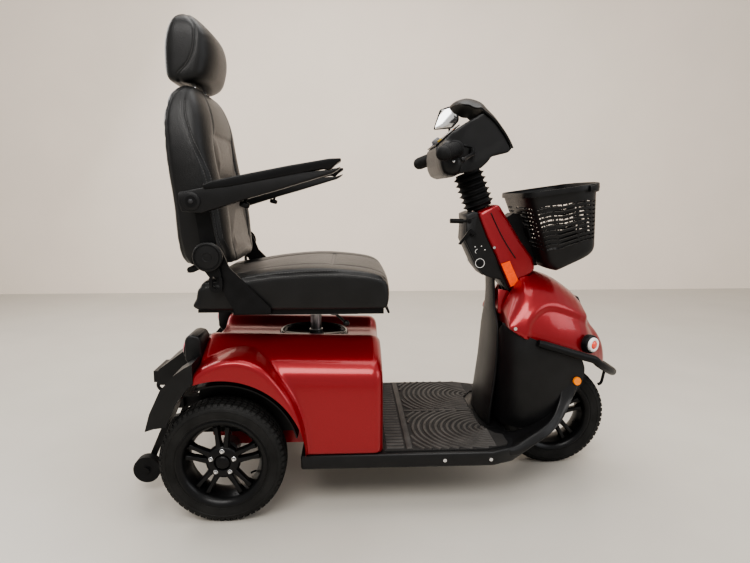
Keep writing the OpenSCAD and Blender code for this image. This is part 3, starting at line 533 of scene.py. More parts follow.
# ------------------------------------------------------------------ wheels
def tyre(name, cx, cy, side, node, body, tread=True):
    w = 40.0
    prof = [(104, -33.0), (112, -37), (118, -38.2), (124, -38.4), (132, -39.6), (140, -40), (148, -38.6), (154, -35.5), (158.5, -30), (161, -24), (162, -14), (162.2, 0),
            (162, 14), (161, 24), (158.5, 30), (154, 35.5), (148, 38.6), (140, 40), (132, 39.6), (124, 38.4), (118, 38.2), (112, 37), (104, 33)]
    o = revolve(name + "_carcass", prof, RUBBER, (cx, cy, ZR), (0, 1, 0), 128, closed=True)
    v, f = [], []
    def lug(a0, a1, z0, z1, r0, r1, skew=0.0):
        """A block between two angles and two widths."""
        b = len(v)
        for r, sh in ((r0, 0.0), (r1, 0.9)):
            for (a, z) in ((a0, z0), (a1, z0), (a1, z1), (a0, z1)):
                zz = z + (sh if z == z0 else -sh)
                aa = a + skew * (z - z0) / (z1 - z0)
                aa += (0.005 if a == a0 else -0.005) * (1 if r == r1 else 0)
                rr = r - 0.0022 * zz * zz if r == r1 else r
                v.append((cx + rr * math.cos(aa), cy + zz, ZR + rr * math.sin(aa)))
        f.extend([[b, b + 3, b + 2, b + 1], [b + 4, b + 5, b + 6, b + 7], [b, b + 1, b + 5, b + 4], [b + 1, b + 2, b + 6, b + 5], [b + 2, b + 3, b + 7, b + 6], [b + 3, b, b + 4, b + 7]])
    n = 60
    for k in range(n):
        a = 2 * math.pi * k / n
        d = 2 * math.pi / n
        lug(a + 0.06 * d, a + 0.78 * d, -7, 7, 158, 165.1, 0.02)
        for s in (-1, 1):
            lug(a + 0.10 * d, a + 0.90 * d, *sorted((s * 10, s * 20)), 157, 165.2, 0.03 * s)
            lug(a + 0.20 * d, a + 1.04 * d, *sorted((s * 22.5, s * 31)), 152, 164.6, 0.02 * s)
            # shoulder bars running down the side
            b = len(v)
            for r, z in ((153, 35.6), (160.0, 30.6), (154, 36.6), (161.6, 31.8)):
                for aa in (a + 0.34 * d, a + 0.90 * d):
                    v.append((cx + r * math.cos(aa), cy + s * z, ZR + r * math.sin(aa)))
            f.extend([[b + 4, b + 5, b + 7, b + 6], [b, b + 4, b + 6, b + 2], [b + 1, b + 3, b + 7, b + 5], [b + 2, b + 6, b + 7, b + 3], [b, b + 1, b + 5, b + 4]])
    lugs = mesh_obj(name + "_lugs", v, f, RUBBER, smooth=False)
    # raised rings on the side walls
    rings = []
    for s in (-1, 1):
        rings.append(revolve(name + "_ring", [(121, 38.0 * s), (122, 39.4 * s), (124, 39.6 * s), (125, 38.4 * s)], RUBBER, (cx, cy, ZR), (0, 1, 0), 128, closed=True))
        rings.append(revolve(name + "_ring", [(143, 39.4 * s), (144, 40.3 * s), (145.4, 40.2 * s), (146.4, 38.8 * s)], RUBBER, (cx, cy, ZR), (0, 1, 0), 128, closed=True))
    o = join(name, [o, lugs] + rings)
    smooth_angle(o, 35)
    ride(o, body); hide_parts(node)
    return o

def rim(name, cx, cy, s, node, body):
    """s is the side that faces outward."""
    ax = (0, s, 0)
    O = (cx, cy, ZR)
    barrel = revolve(name + "_barrel", [(99.5, -38), (117.5, -39.2), (118, -36), (104, -33.5), (96, -20), (95, 0), (97, 20), (104, 33.5), (116, 35.8), (118.4, 38.0), (118.2, 40.2), (115.6, 41.0),
                     (112.5, 39.6), (106, 36.0), (101, 30), (98.5, 22), (92.5, 8), (91, -4), (92.5, -22), (96, -34)], RIM, O, ax, 120, closed=True)
    parts = [barrel]
    # five double spokes, tapering to the rim
    def local(x, z, h):
        return (cx + x * s * -1 * -1, cy + s * h, ZR + z)
    for k in range(5):
        base = math.radians(90 + 72 * k)
        for m in (-1, 1):
            a_in, a_out = base + m * 0.30, base + m * 0.165
            r0, r1 = 26, 97.5
            w0, w1 = 11.5, 6.4
            v = []
            for r, aa, w, h0, h1 in ((r0, a_in, w0, 10, 27), (52, base + m * 0.205, 8.4, 8, 25.5), (78, base + m * 0.172, 6.8, 6, 24), (r1, a_out, w1 + 3.0, 2, 26)):
                c, q = math.cos(aa), math.sin(aa)
                n = Vector((-q, 0, c))
                p = Vector((c, 0, q)) * r
                for (off, h) in ((-w, h0), (w, h0), (w * 0.72, h1), (-w * 0.72, h1)):
                    pt = p + n * off
                    v.append((cx + pt.x, cy + s * h, ZR + pt.z))
            f = []
            for i in range(3):
                for j in range(4):
                    a, b = i * 4 + j, i * 4 + (j + 1) % 4
                    f.append([a, b, b + 4, a + 4])
            f.append([3, 2, 1, 0]); f.append([12, 13, 14, 15])
            q = mesh_obj(name + "_sp", v, f, RIM, smooth=False)
            bevel(q, 2.2, 3, 30); apply_all(q)
            parts.append(q)
        # web between the pair, set back: built but never added, since k is never below 0
        v = []
        for r, wd in ((30, 10), (60, 12), (97, 15)):
            for h in (6, 12):
                for m in (-1, 1):
                    aa = base
                    c, q = math.cos(aa), math.sin(aa)
                    pt = Vector((c, 0, q)) * r + Vector((-q, 0, c)) * m * wd * 0.55
                    v.append((cx + pt.x, cy + s * (h - 3), ZR + pt.z))
        f = []
        for i in range(2):
            b = i * 4
            f += [[b, b + 1, b + 5, b + 4], [b + 2, b + 6, b + 7, b + 3], [b, b + 4, b + 6, b + 2], [b + 1, b + 3, b + 7, b + 5]]
        f += [[0, 2, 3, 1], [8, 9, 11, 10]]
        if k < 0:
            parts.append(mesh_obj(name + "_web", v, f, RIM, smooth=False))
    hub = revolve(name + "_hub", [(12.2, -30), (24, -30), (26, -27), (26, 2), (40, 6), (45, 11), (45, 20), (42, 25), (37, 28), (22, 29.5), (20, 27), (19, 24), (12.2, 24)], RIM, O, ax, 90, closed=True)
    cap = revolve(name + "_cap", [(0.4, 24), (17.6, 24), (17.6, 29), (15, 31.5), (10, 33), (0.4, 33.6)], SATIN, O, ax, 48)
    parts += [hub, cap]
    o = join(name, parts)
    smooth_angle(o, 36)
    ride(o, body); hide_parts(node)
    bolts = []
    for k in range(5):
        a = math.radians(90 + 72 * k)
        c = (cx + 31 * math.cos(a), cy, ZR + 31 * math.sin(a))
        bolts.append(revolve("b", [(0.3, 26), (6.2, 26), (6.4, 28.6), (5.4, 29.4), (4.6, 29.6), (4.4, 33.0), (3.6, 34.0), (0.3, 34.2)], BRIGHT, c, ax, 6 if False else 18))
    b = join(name + "_bolts", bolts)
    smooth_angle(b, 40)
    ride(b, body)
    valve = tube(name + "_valve", [(cx + 82, cy + s * 4, ZR - 36), (cx + 76, cy + s * 16, ZR - 33), (cx + 73, cy + s * 24, ZR - 32)], 2.6, GRIP, 10)
    ride(valve, body)
    return o

# ------------------------------------------------------------------ column, head
def rounded(o, size, it):
    remesh(o, size); relax(o, it, 0.5); apply_all(o)
    return o

def column():
    cov = [(379, 572), (404, 580), (428, 608), (454, 634), (446, 669), (409, 718), (373, 776), (340, 829), (277, 806), (281, 790), (306, 729), (333, 677), (351, 635)]
    # narrower at the top
    n = len(cov)
    def wid(z):
        return lerp_tab([(570, 69), (640, 67), (835, 53)], z)
    v = [(x, -wid(z), z) for x, z in cov] + [(x, wid(z), z) for x, z in cov]
    f = [list(range(n))[::1], list(range(2 * n - 1, n - 1, -1))] + [[i, n + i, n + (i + 1) % n, (i + 1) % n] for i in range(n)]
    o = mesh_obj("column_cover_shell", v, f, RED, smooth=False)
    bevel(o, 11, 5, 25); apply_all(o)
    c = revolve("c", [(32.6, 0), (32.6, 70)], RED, tuple(P(670)), tuple(AXV), 48)
    cut(o, c, "EXACT")
    smooth_angle(o, 40)
    ride(o, "chassis"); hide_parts("column_cover")
    # pressed groove along each side, drawn as a thin satin-black tube: painted shade standing in for the groove
    for s, nm in ((-1, "right"), (1, "left")):
        g = tube("column_groove_painted_shade_" + nm, [(316, s * 56.9, 802), (330, s * 58.2, 772), (350, s * 60.9, 733), (372, s * 63.6, 697), (392, s * 65.2, 668)], 1.5,
                 SATIN, 10)
        ride(g, "chassis")
    pan = [(245, 800), (241, 720), (255, 693), (280, 641), (301, 616), (325, 607.6), (353.4, 602.6), (366, 580), (384, 560), (381, 572), (350.5, 634.6), (332.5, 676.6),
           (305.5, 728.6), (280.4, 790), (276.5, 805.5), (262, 804)]
    o = prism("column_panel_shell", pan, -58, 58, BLACK, 7, 4)
    c = revolve("c", [(32.6, 0), (32.6, 80)], RED, tuple(P(660)), tuple(AXV), 48)
    cut(o, c, "EXACT")
    smooth_angle(o, 40)
    ride(o, "chassis"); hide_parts("column_panel")
    # grey back strip
    g = prism("column_back_strip", [(243.5, 776), (239.3, 720), (253, 692), (277.5, 641), (299, 614.5), (304, 617.5), (283, 645), (258, 697), (246, 722), (249, 776)], -45, 45, DGREY, 2)
    ride(g, "chassis")
    g = prism("column_grey_cap", [(242, 798), (243, 780), (262, 785), (276, 792), (274, 804), (262, 806)], -60, 60, DGREY, 2.5)
    ride(g, "chassis")
    for s, nm in ((-1, "right"), (1, "left")):
        O = (287, s * 57.6, 653)
        r1 = revolve("socket_ring_" + nm, [(12.6, 0.0), (12.8, 1.1), (14.0, 1.3), (14.3, 0.0)], WHITE, O, (0, s, 0), 48, closed=True)
        r2 = revolve("socket_face_" + nm, [(0.3, 0.9), (11.6, 0.9), (12.4, 0.2)], SATIN, O, (0, s, 0), 40)
        for q, sl in ((r1, "lamp_white"), (r2, "black_plastic")):
            ride(q, "chassis")
        arc = tube("socket_mark_" + nm, [(279 + 7 * math.cos(t), s * 58.3, 688 + 7 * math.sin(t)) for t in [1.6 + i * 0.5 for i in range(6)]], 0.7, WHITE, 8)
        ride(arc, "chassis")
        for i, (x, z) in enumerate(((271, 702), (290, 704), (301, 693))):
            d = revolve("panel_dot_%s_%d" % (nm, i), [(0.2, 0.9), (1.6, 0.7), (1.9, 0)], WHITE, (x, s * 57.8, z), (0, s, 0), 16)
            ride(d, "chassis")

def bellows():
    prof = [(33.5, 0), (38, 0)]
    for i in range(6):
        h = 4 + i * 17.2
        prof += [(37.2, h), (37.8, h + 2), (44.5, h + 6.8), (47, h + 8.2), (46.6, h + 9.4), (43, h + 10.8), (38.2, h + 14.2)]
    prof += [(37.0, 107), (37, 111), (33.5, 111)]
    o = revolve("bellows_skin", prof, GRIP, tuple(P(697)), tuple(AXV), 72, closed=True)
    smooth_angle(o, 60)
    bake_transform(o)
    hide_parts("bellows")
    return o

HEAD = [(149, 931), (158, 911), (176, 902), (196, 906), (212, 914), (248, 920), (274, 930), (292, 946), (303, 962), (325, 968), (352, 974), (361, 984), (343, 1017), (320, 1050), (301, 1073),
        (281, 1087), (252, 1070), (228, 1055), (191, 1031), (143, 986)]
def head():
    n = len(HEAD)
    def wid(x, z):
        return 96 - 7 * sstep(985, 1090, z) - 5 * sstep(320, 375, x)
    v = [(x, -wid(x, z), z) for x, z in HEAD] + [(x, wid(x, z), z) for x, z in HEAD]
    f = [list(range(n)), list(range(2 * n - 1, n - 1, -1))] + [[i, n + i, n + (i + 1) % n, (i + 1) % n] for i in range(n)]
    body = mesh_obj("hb", v, f, BLACK, smooth=False)
    parts = [body]
    for s in (-1, 1):
        # lower wing and the collar round the grip
        rings = []
        for y, g in ((70, 1.0), (96, 1.0), (120, 0.98), (138, 0.9), (146, 0.72), (149, 0.45)):
            pts = [(145, 966), (147, 946), (150, 930), (158, 912), (172, 904), (190, 904), (206, 914), (214, 932), (212, 950), (205, 968), (196, 990), (186, 1004), (168, 1006), (152, 996)]
            cx = sum(p[0] for p in pts) / len(pts); cz = sum(p[1] for p in pts) / len(pts)
            ring = [(cx + (x - cx) * g, s * y, cz + (z - cz) * g) for x, z in pts]
            rings.append(ring if s > 0 else ring[::-1])
        parts.append(loft("wing", rings, BLACK))
    o = join("head_shell_body", parts)
    remesh(o, 3.0); relax(o, 7, 0.5); apply_all(o)
    c = revolve("c", [(26, 0), (26, 60)], RED, tuple(P(785)), tuple(AXV), 48)
    cut(o, c, "FAST")
    smooth_angle(o, 40)
    ride(o, "tiller_head"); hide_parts("head_shell")
    # visor hood: a crowned sheet along the top
    path = catmull([(p[0], 0, p[1]) for p in [(199, 1115), (206, 1122), (218, 1128), (239, 1133), (262, 1129.5), (283, 1120), (299, 1103), (318, 1083), (335, 1060), (354, 1031), (366, 1008), (373, 990)]], 4)
    m = len(path)
    NV = 32
    v, f = [], []
    for i, p in enumerate(path):
        u = i / (m - 1)
        d = (path[min(i + 1, m - 1)] - path[max(i - 1, 0)]).normalized()
        nrm = Vector((-d.z, 0, d.x))
        if nrm.z < 0 and i < m * 0.5:
            nrm = -nrm
        nrm = Vector((-d.z, 0, d.x)) if d.x > 0 or d.z < 0 else Vector((d.z, 0, -d.x))
        w = smooth_tab([(0, 40), (0.04, 58), (0.12, 76), (0.25, 90), (0.4, 97), (0.7, 100), (1, 97)], u)
        drop = smooth_tab([(0, 8), (0.15, 20), (0.35, 34), (0.5, 26), (0.75, 15), (1, 9)], u)
        for k in range(NV + 1):
            t = -1 + 2 * k / NV
            q = p - nrm * (drop * abs(t) ** 2.6)
            v.append((q.x, t * w, q.z))
    for i in range(m - 1):
        for k in range(NV):
            a = i * (NV + 1) + k
            f.append([a, a + 1, a + NV + 2, a + NV + 1])
    h = mesh_obj("hood_sheet", v, f, BLACK)
    solidify(h, 5.0, -1 if True else 1); apply_all(h)
    bevel(h, 1.6, 3, 50); apply_all(h)
    smooth_angle(h, 45)
    ride(h, "tiller_head"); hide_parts("head_hood")
    # side slot and stud
    for s, nm in ((-1, "right"), (1, "left")):
        q = prism("head_vent_" + nm, [(222, 991), (246, 985), (247, 990), (224, 996.5)], *sorted((94.5 * s, 97 * s)), SATIN, 0.8)
        ride(q, "tiller_head")
        q = revolve("head_stud_" + nm, [(0.2, 2.6), (2.6, 2.3), (4.2, 0.8), (4.4, -2)], BRIGHT, (185, s * 148.5, 946), (0, s, 0), 20)
        ride(q, "tiller_head")

def dash_m():
    return Matrix.Translation(Vector((0.1856, 0, 1.0195))) @ Matrix.Rotation(math.radians(-40.5), 4, "Y")

def dash():
    M = dash_m()
    def put(o):
        o.data.transform(M)
        ride(o, "tiller_head")
        return o
    scr = box_obj("dash_screen", (-2, -46, 7.7), (34, 46, 9.2), SCREEN, 1.0)
    put(scr)
    bez = box_obj("dash_bezel", (-6, -52, 7.5), (38, 52, 8.4), SATIN, 0.8)
    put(bez)
    for i, y in enumerate((-72, -62, 62, 72)):
        q = revolve("dash_lamp_%d" % i, [(0.2, 9.4), (2.2, 9.0), (3.0, 7.6)], AMBER if i in (0, 3) else WHITE, (20, y, 0), (0, 0, 1), 18)
        put(q)
    kn = revolve("speed_knob_cap", [(0.3, 20), (9, 20), (11.5, 19), (12.6, 17), (13.4, 9), (13.2, 8.0), (0.3, 8.0)], GREY, (-26, 0, 0), (0, 0, 1), 24)
    kn.data.transform(M); ride(kn, "speed_dial"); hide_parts("speed_knob")
    mk = box_obj("speed_knob_mark", (-25, -0.9, 19.6), (-15, 0.9, 20.6), WHITE, 0.3)
    mk.data.transform(M); ride(mk, "speed_dial")

def grips():
    g0, g1 = Vector((188, -152, 978)), Vector((140, -250, 960))
    for s, nm in ((-1, "right"), (1, "left")):
        a = Vector((g0.x, g0.y * -s, g0.z)); b = Vector((g1.x, g1.y * -s, g1.z))
        d = (b - a).normalized(); L = (b - a).length
        prof = [(11.2, -3), (23, -3), (24.5, -1), (24.5, 4), (23, 6), (19.2, 8)]
        h = 10
        while h < L - 6:
            prof += [(19.2, h), (20.1, h + 1.2), (20.1, h + 4.2), (19.2, h + 5.4)]
            h += 7.2
        prof += [(19.6, L), (18.6, L + 8), (15, L + 14), (9, L + 17.5), (0.4, L + 18.6)]
        o = revolve("grip_" + nm, prof, GRIP, tuple(a), tuple(d), 48)
        smooth_angle(o, 35)
        ride(o, "tiller_head")
        if s < 0:
            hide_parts("grips")

# ------------------------------------------------------------------ soft goods
def stitches(name, pts, normals, spacing, length, r, body):
    """A row of small thread loops along a path."""
    v, f = [], []
    dist = 0
    path = [Vector(p) for p in pts]
    cum = [0]
    for a, b in zip(path, path[1:]):
        cum.append(cum[-1] + (b - a).length)
    total = cum[-1]
    def at(s):
        for i in range(len(cum) - 1):
            if s <= cum[i + 1]:
                t = (s - cum[i]) / max(1e-9, cum[i + 1] - cum[i])
                return path[i].lerp(path[i + 1], t), Vector(normals[i]).lerp(Vector(normals[i + 1]), t)
        return path[-1], Vector(normals[-1])
    s = spacing * 0.5
    while s + length < total:
        prof = [(0, -0.35), (0.15, 0.35), (0.5, 0.8), (0.85, 0.35), (1, -0.35)]
        base = len(v)
        for t, h in prof:
            p, nn = at(s + length * t)
            p2, _ = at(min(total, s + length * t + 0.4))
            d = (p2 - p)
            d = d.normalized() if d.length > 1e-9 else Vector((1, 0, 0))
            nn = nn.normalized()
            side = d.cross(nn).normalized()
            c = p + nn * (h * r)
            for k in range(6):
                a = 2 * math.pi * k / 6
                q = c + (side * math.cos(a) + nn * math.sin(a)) * r
                v.append(tuple(q))
        for i in range(len(prof) - 1):
            for k in range(6):
                a, b = base + i * 6 + k, base + i * 6 + (k + 1) % 6
                f.append([a, b, b + 6, a + 6])
        s += spacing
    if not f:
        return None
    o = mesh_obj(name, v, f, THREAD, smooth=True)
    ride(o, body)
    return o

def puff(o, pin_fn, cap_mm, frames=20, pressure=4.0):
    """Inflates the cushion between its sewn lines and caps how far a point may move."""
    me = o.data
    base = [v.co.copy() for v in me.vertices]
    vg = o.vertex_groups.new(name="pin")
    for i, c in enumerate(base):
        w = pin_fn(c / MM)
        if w > 0.001:
            vg.add([i], w, "REPLACE")
    md = o.modifiers.new("Cloth", "CLOTH")
    st = md.settings
    st.quality = 4
    st.mass = 0.4
    st.tension_stiffness = 22; st.compression_stiffness = 22; st.shear_stiffness = 12; st.bending_stiffness = 6
    st.use_pressure = True
    st.uniform_pressure_force = pressure
    st.vertex_group_mass = "pin"
    st.effector_weights.gravity = 0
    md.collision_settings.use_collision = False
    md.point_cache.frame_start = 1
    md.point_cache.frame_end = frames
    sc = bpy.context.scene
    for fr in range(1, frames + 1):
        sc.frame_set(fr)
    dg = bpy.context.evaluated_depsgraph_get()
    e = o.evaluated_get(dg)
    em = e.to_mesh()
    new = [v.co.copy() for v in em.vertices]
    e.to_mesh_clear()
    o.modifiers.remove(md)
    cap = cap_mm * MM
    for i, v in enumerate(me.vertices):
        d = new[i] - base[i]
        if d.length > cap:
            d = d * (cap / d.length)
        v.co = base[i] + d
    sc.frame_set(1)
    me.update()
    return o

def bvh_of(o):
    dg = bpy.context.evaluated_depsgraph_get()
    return BVHTree.FromObject(o, dg)

def seat_cushion():
    """Waterfall-front seat base with side bolsters and a paler centre panel."""
    outer = [(-506, 556), (-300, 554), (-60, 554), (0, 556), (9, 564), (11, 584), (9.5, 610), (-3, 636), (-44, 651), (-119, 661), (-199, 665), (-283, 659), (-358, 649), (-405, 639), (-470, 632), (-492, 626), (-505, 606), (-509, 580)]
    prof = [(p[0], p[1]) for p in catmull([(x, z, 0) for x, z in outer], 3, closed=True)]
    rings = []
    cx, cz = -250, 606
    for y, g, gz in ((-233, 0.965, 0.86), (-231, 0.985, 0.93), (-224, 0.995, 0.975), (-200, 1.0, 0.99), (-160, 1, 1.0), (-90, 1.0, 0.99), (0, 1.0, 0.985), (90, 1.0, 0.99), (160, 1, 1.0), (200, 1.0, 0.99),
                     (224, 0.995, 0.975), (231, 0.985, 0.93), (233, 0.965, 0.86)):
        bow = 5 * (abs(y) / 232) ** 2.2
        ring = []
        for x, z in prof:
            xx = cx + (x - cx) * g
            if x > -40:
                xx -= bow * 1.5 * sstep(-40, 10, x)
            zz = cz + (z - cz) * (gz if z > cz else 0.5 + 0.5 * gz)
            ring.append((xx, y, zz))
        rings.append(ring)
    o = loft("seat_base_cushion", rings, [LEATHER, TAUPE])
    remesh(o, 6.0); relax(o, 3, 0.5); apply_all(o)
    def seam_top(c):
        # two lengthwise seams and one across, near the front
        x, y, z = c
        if z < 600:
            return 9e9
        d = [abs(abs(y) - smooth_tab([(-512, 118), (-300, 132), (-120, 142), (20, 150)], x))]
        if abs(y) < 150:
            d.append(abs(x + 150))
        return min(d)
    def seam_side(c):
        x, y, z = c
        if abs(y) < 150:
            return abs(z - 596) if x > -8 else 9e9
        edge = smooth_tab([(-512, 614), (-400, 631), (-283, 646), (-150, 651), (-60, 645), (0, 631)], x)
        return abs(z - edge) if abs(y) > 205 else 9e9
    def pin(c):
        d = min(seam_top(c), seam_side(c))
        w = max(0.0, 1 - d / 7.0)
        if c[2] < 562:
            w = 1.0
        return w
    puff(o, pin, 14)
    # sewn channels pulled in
    me = o.data
    me.calc_loop_triangles()
    nrm = [v.normal.copy() for v in me.vertices]
    for v in me.vertices:
        c = v.co / MM
        d = min(seam_top(c), seam_side(c))
        k = math.exp(-(d / 4.5) ** 2)
        v.co -= nrm[v.index] * (3.2 * k * MM)
    for p in me.polygons:
        c = p.center / MM
        inner = abs(c.y) < smooth_tab([(-512, 118), (-300, 132), (-120, 142), (20, 150)], c.x) and c.z > 600 and p.normal.z > 0.15
        p.material_index = 1 if (inner and c.x < -150) else 0
    sub(o, 1); apply_all(o)
    for v in o.data.vertices:
        v.co.z = 0.5522 + (v.co.z - 0.5522) * sstep(0.5525, 0.566, v.co.z) if v.co.z > 0.5522 else 0.5522
        v.co.y = max(-0.2375, min(0.2375, v.co.y))
    smooth_angle(o, 180)
    ride(o, "seat"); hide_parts("seat_cushion")
    # double stitching beside the seams
    b = bvh_of(o)
    for s, nm in ((-1, "right"), (1, "left")):
        for j, off in enumerate((-6, 6)):
            pts, ns = [], []
            for i in range(70):
                x = -480 + i * (480 + 2) / 69
                y = s * (smooth_tab([(-512, 118), (-300, 132), (-120, 142), (20, 150)], x) + off)
                hit = b.ray_cast(Vector((x, y, 760)) * MM, Vector((0, 0, -1)))
                if hit[0]:
                    pts.append(hit[0] / MM); ns.append(hit[1])
            stitches("seat_stitch_%s_%d" % (nm, j), pts, ns, 7.5, 4.6, 0.55, "seat")
        for j, off in enumerate((-5, 5)):
            pts, ns = [], []
            for i in range(80):
                x = -486 + i * 470 / 79
                z = smooth_tab([(-512, 614), (-400, 631), (-283, 646), (-150, 651), (-60, 645), (0, 631)], x) + off
                hit = b.ray_cast(Vector((x, s * 330, z)) * MM, Vector((0, -s, 0)))
                if hit[0]:
                    pts.append(hit[0] / MM); ns.append(hit[1])
            stitches("seat_side_stitch_%s_%d" % (nm, j), pts, ns, 7.5, 4.6, 0.55, "seat")
    for j, off in enumerate((-5, 5)):
        pts, ns = [], []
        for i in range(50):
            y = -138 + i * 276 / 49
            hit = b.ray_cast(Vector((-150 + off, y, 760)) * MM, Vector((0, 0, -1)))
            if hit[0]:
                pts.append(hit[0] / MM); ns.append(hit[1])
        stitches("seat_cross_stitch_%d" % j, pts, ns, 7.5, 4.6, 0.55, "seat")
    return o

BACK_F = [(668, -412), (700, -414), (745, -418), (809, -423), (870, -436), (926, -449), (1000, -460), (1035, -464), (1069, -471), (1100, -482), (1127, -497), (1144, -516)]
BACK_R = [(668, -545), (700, -557), (745, -563), (824, -568), (939, -580), (1000, -584.5), (1047, -586), (1087, -580), (1113, -572), (1128, -560), (1139, -544), (1146, -526)]
BACK_W = [(660, 196), (690, 212), (740, 219), (830, 220), (930, 220), (1000, 215), (1060, 204), (1100, 189), (1128, 168), (1142, 143), (1147, 118)]
def bolster(y, z):
    """How far the side bolster stands in front of the centre panel."""
    return 26 * sstep(120, 172, abs(y)) * sstep(672, 720, z) * (1 - sstep(960, 1080, z))

def backrest():
    rings = []
    zs = [670, 672, 678, 690, 710, 740, 780, 820, 860, 900, 940, 980, 1010, 1040, 1065, 1088, 1106, 1120, 1132, 1140, 1144]
    N = 56
    for z in zs:
        xf, xb, w = smooth_tab(BACK_F, z), smooth_tab(BACK_R, z), smooth_tab(BACK_W, z)
        lowf = sstep(668, 690, z)
        ring = []
        mid = (xf + xb) / 2
        hd = (xf - xb) / 2
        for k in range(N):
            a = 2 * math.pi * k / N
            c, s = math.cos(a), math.sin(a)
            ex = 2 / (3.6 if c > 0 else 7.5)
            y = w * math.copysign(abs(s) ** ex, s)
            x = mid + hd * math.copysign(abs(c) ** ex, c)
            if c > 0:
                x -= 22 * (1 - sstep(95, 160, abs(y))) * sstep(680, 730, z) * (1 - sstep(950, 1060, z)) * abs(c)
            x -= (1 - lowf) * 4 * (1 if c > 0 else -1)
            ring.append((x, y, z))
        rings.append(ring)
    o = loft("backrest_pad", rings, [LEATHER, TAUPE])
    remesh(o, 6.0); relax(o, 3, 0.5); apply_all(o)
    def side_seam(z):
        return smooth_tab([(664, 128), (800, 132), (950, 128), (1050, 118), (1100, 104), (1146, 80)], z)
    def edge_x(z):
        return smooth_tab([(668, -430), (706, -432), (744, -444), (806, -452), (903, -469), (962, -490), (996, -505), (1052, -523), (1087, -527), (1114, -525), (1140, -521)], z)
    def dist(c):
        x, y, z = c
        xf, xb = smooth_tab(BACK_F, z), smooth_tab(BACK_R, z)
        front = x > (xf + xb) / 2
        d = 9e9
        if front and abs(y) < 175:
            d = min(d, abs(abs(y) - side_seam(z)))
            if abs(y) < side_seam(z):
                d = min(d, abs(z - 900 - 0.0 * y), abs(z - 1015))
        if abs(y) > 150 or z > 1110:
            d = min(d, abs(x - edge_x(z)))
        if abs(y) > 120:
            d = min(d, abs(x - (xb + 16)))
        return d
    def pin(c):
        w = max(0.0, 1 - dist(c) / 7.0)
        if c[2] < 684:
            w = max(w, 0.8)
        return w
    puff(o, pin, 12)
    me = o.data
    nrm = [v.normal.copy() for v in me.vertices]
    for v in me.vertices:
        k = math.exp(-(dist(v.co / MM) / 4.5) ** 2)
        v.co -= nrm[v.index] * (3.0 * k * MM)
    for p in me.polygons:
        c = p.center / MM
        xf, xb = smooth_tab(BACK_F, c.z), smooth_tab(BACK_R, c.z)
        inner = abs(c.y) < side_seam(c.z) and c.x > (xf + xb) / 2 and p.normal.x > 0.1 and 700 < c.z < 1015
        p.material_index = 1 if inner else 0
    sub(o, 1); apply_all(o)
    for v in o.data.vertices:
        v.co.y = max(-0.2245, min(0.2245, v.co.y))
    smooth_angle(o, 180)
    ride(o, "backrest"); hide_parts("backrest_cushion")
    b = bvh_of(o)
    for s, nm in ((-1, "right"), (1, "left")):
        for j, off in enumerate((-6, 6)):
            pts, ns = [], []
            for i in range(90):
                z = 690 + i * 430 / 89
                hit = b.ray_cast(Vector((-250, s * (side_seam(z) + off), z)) * MM, Vector((-1, 0, 0)))
                if hit[0]:
                    pts.append(hit[0] / MM); ns.append(hit[1])
            stitches("back_stitch_%s_%d" % (nm, j), pts, ns, 7.5, 4.6, 0.55, "backrest")
        for j, off in enumerate((-5.5, 5.5)):
            pts, ns = [], []
            for i in range(90):
                z = 700 + i * 400 / 89
                hit = b.ray_cast(Vector((edge_x(z) + off, s * 330, z)) * MM, Vector((0, -s, 0)))
                if hit[0]:
                    pts.append(hit[0] / MM); ns.append(hit[1])
            stitches("back_side_stitch_%s_%d" % (nm, j), pts, ns, 7.5, 4.6, 0.55, "backrest")
    return o

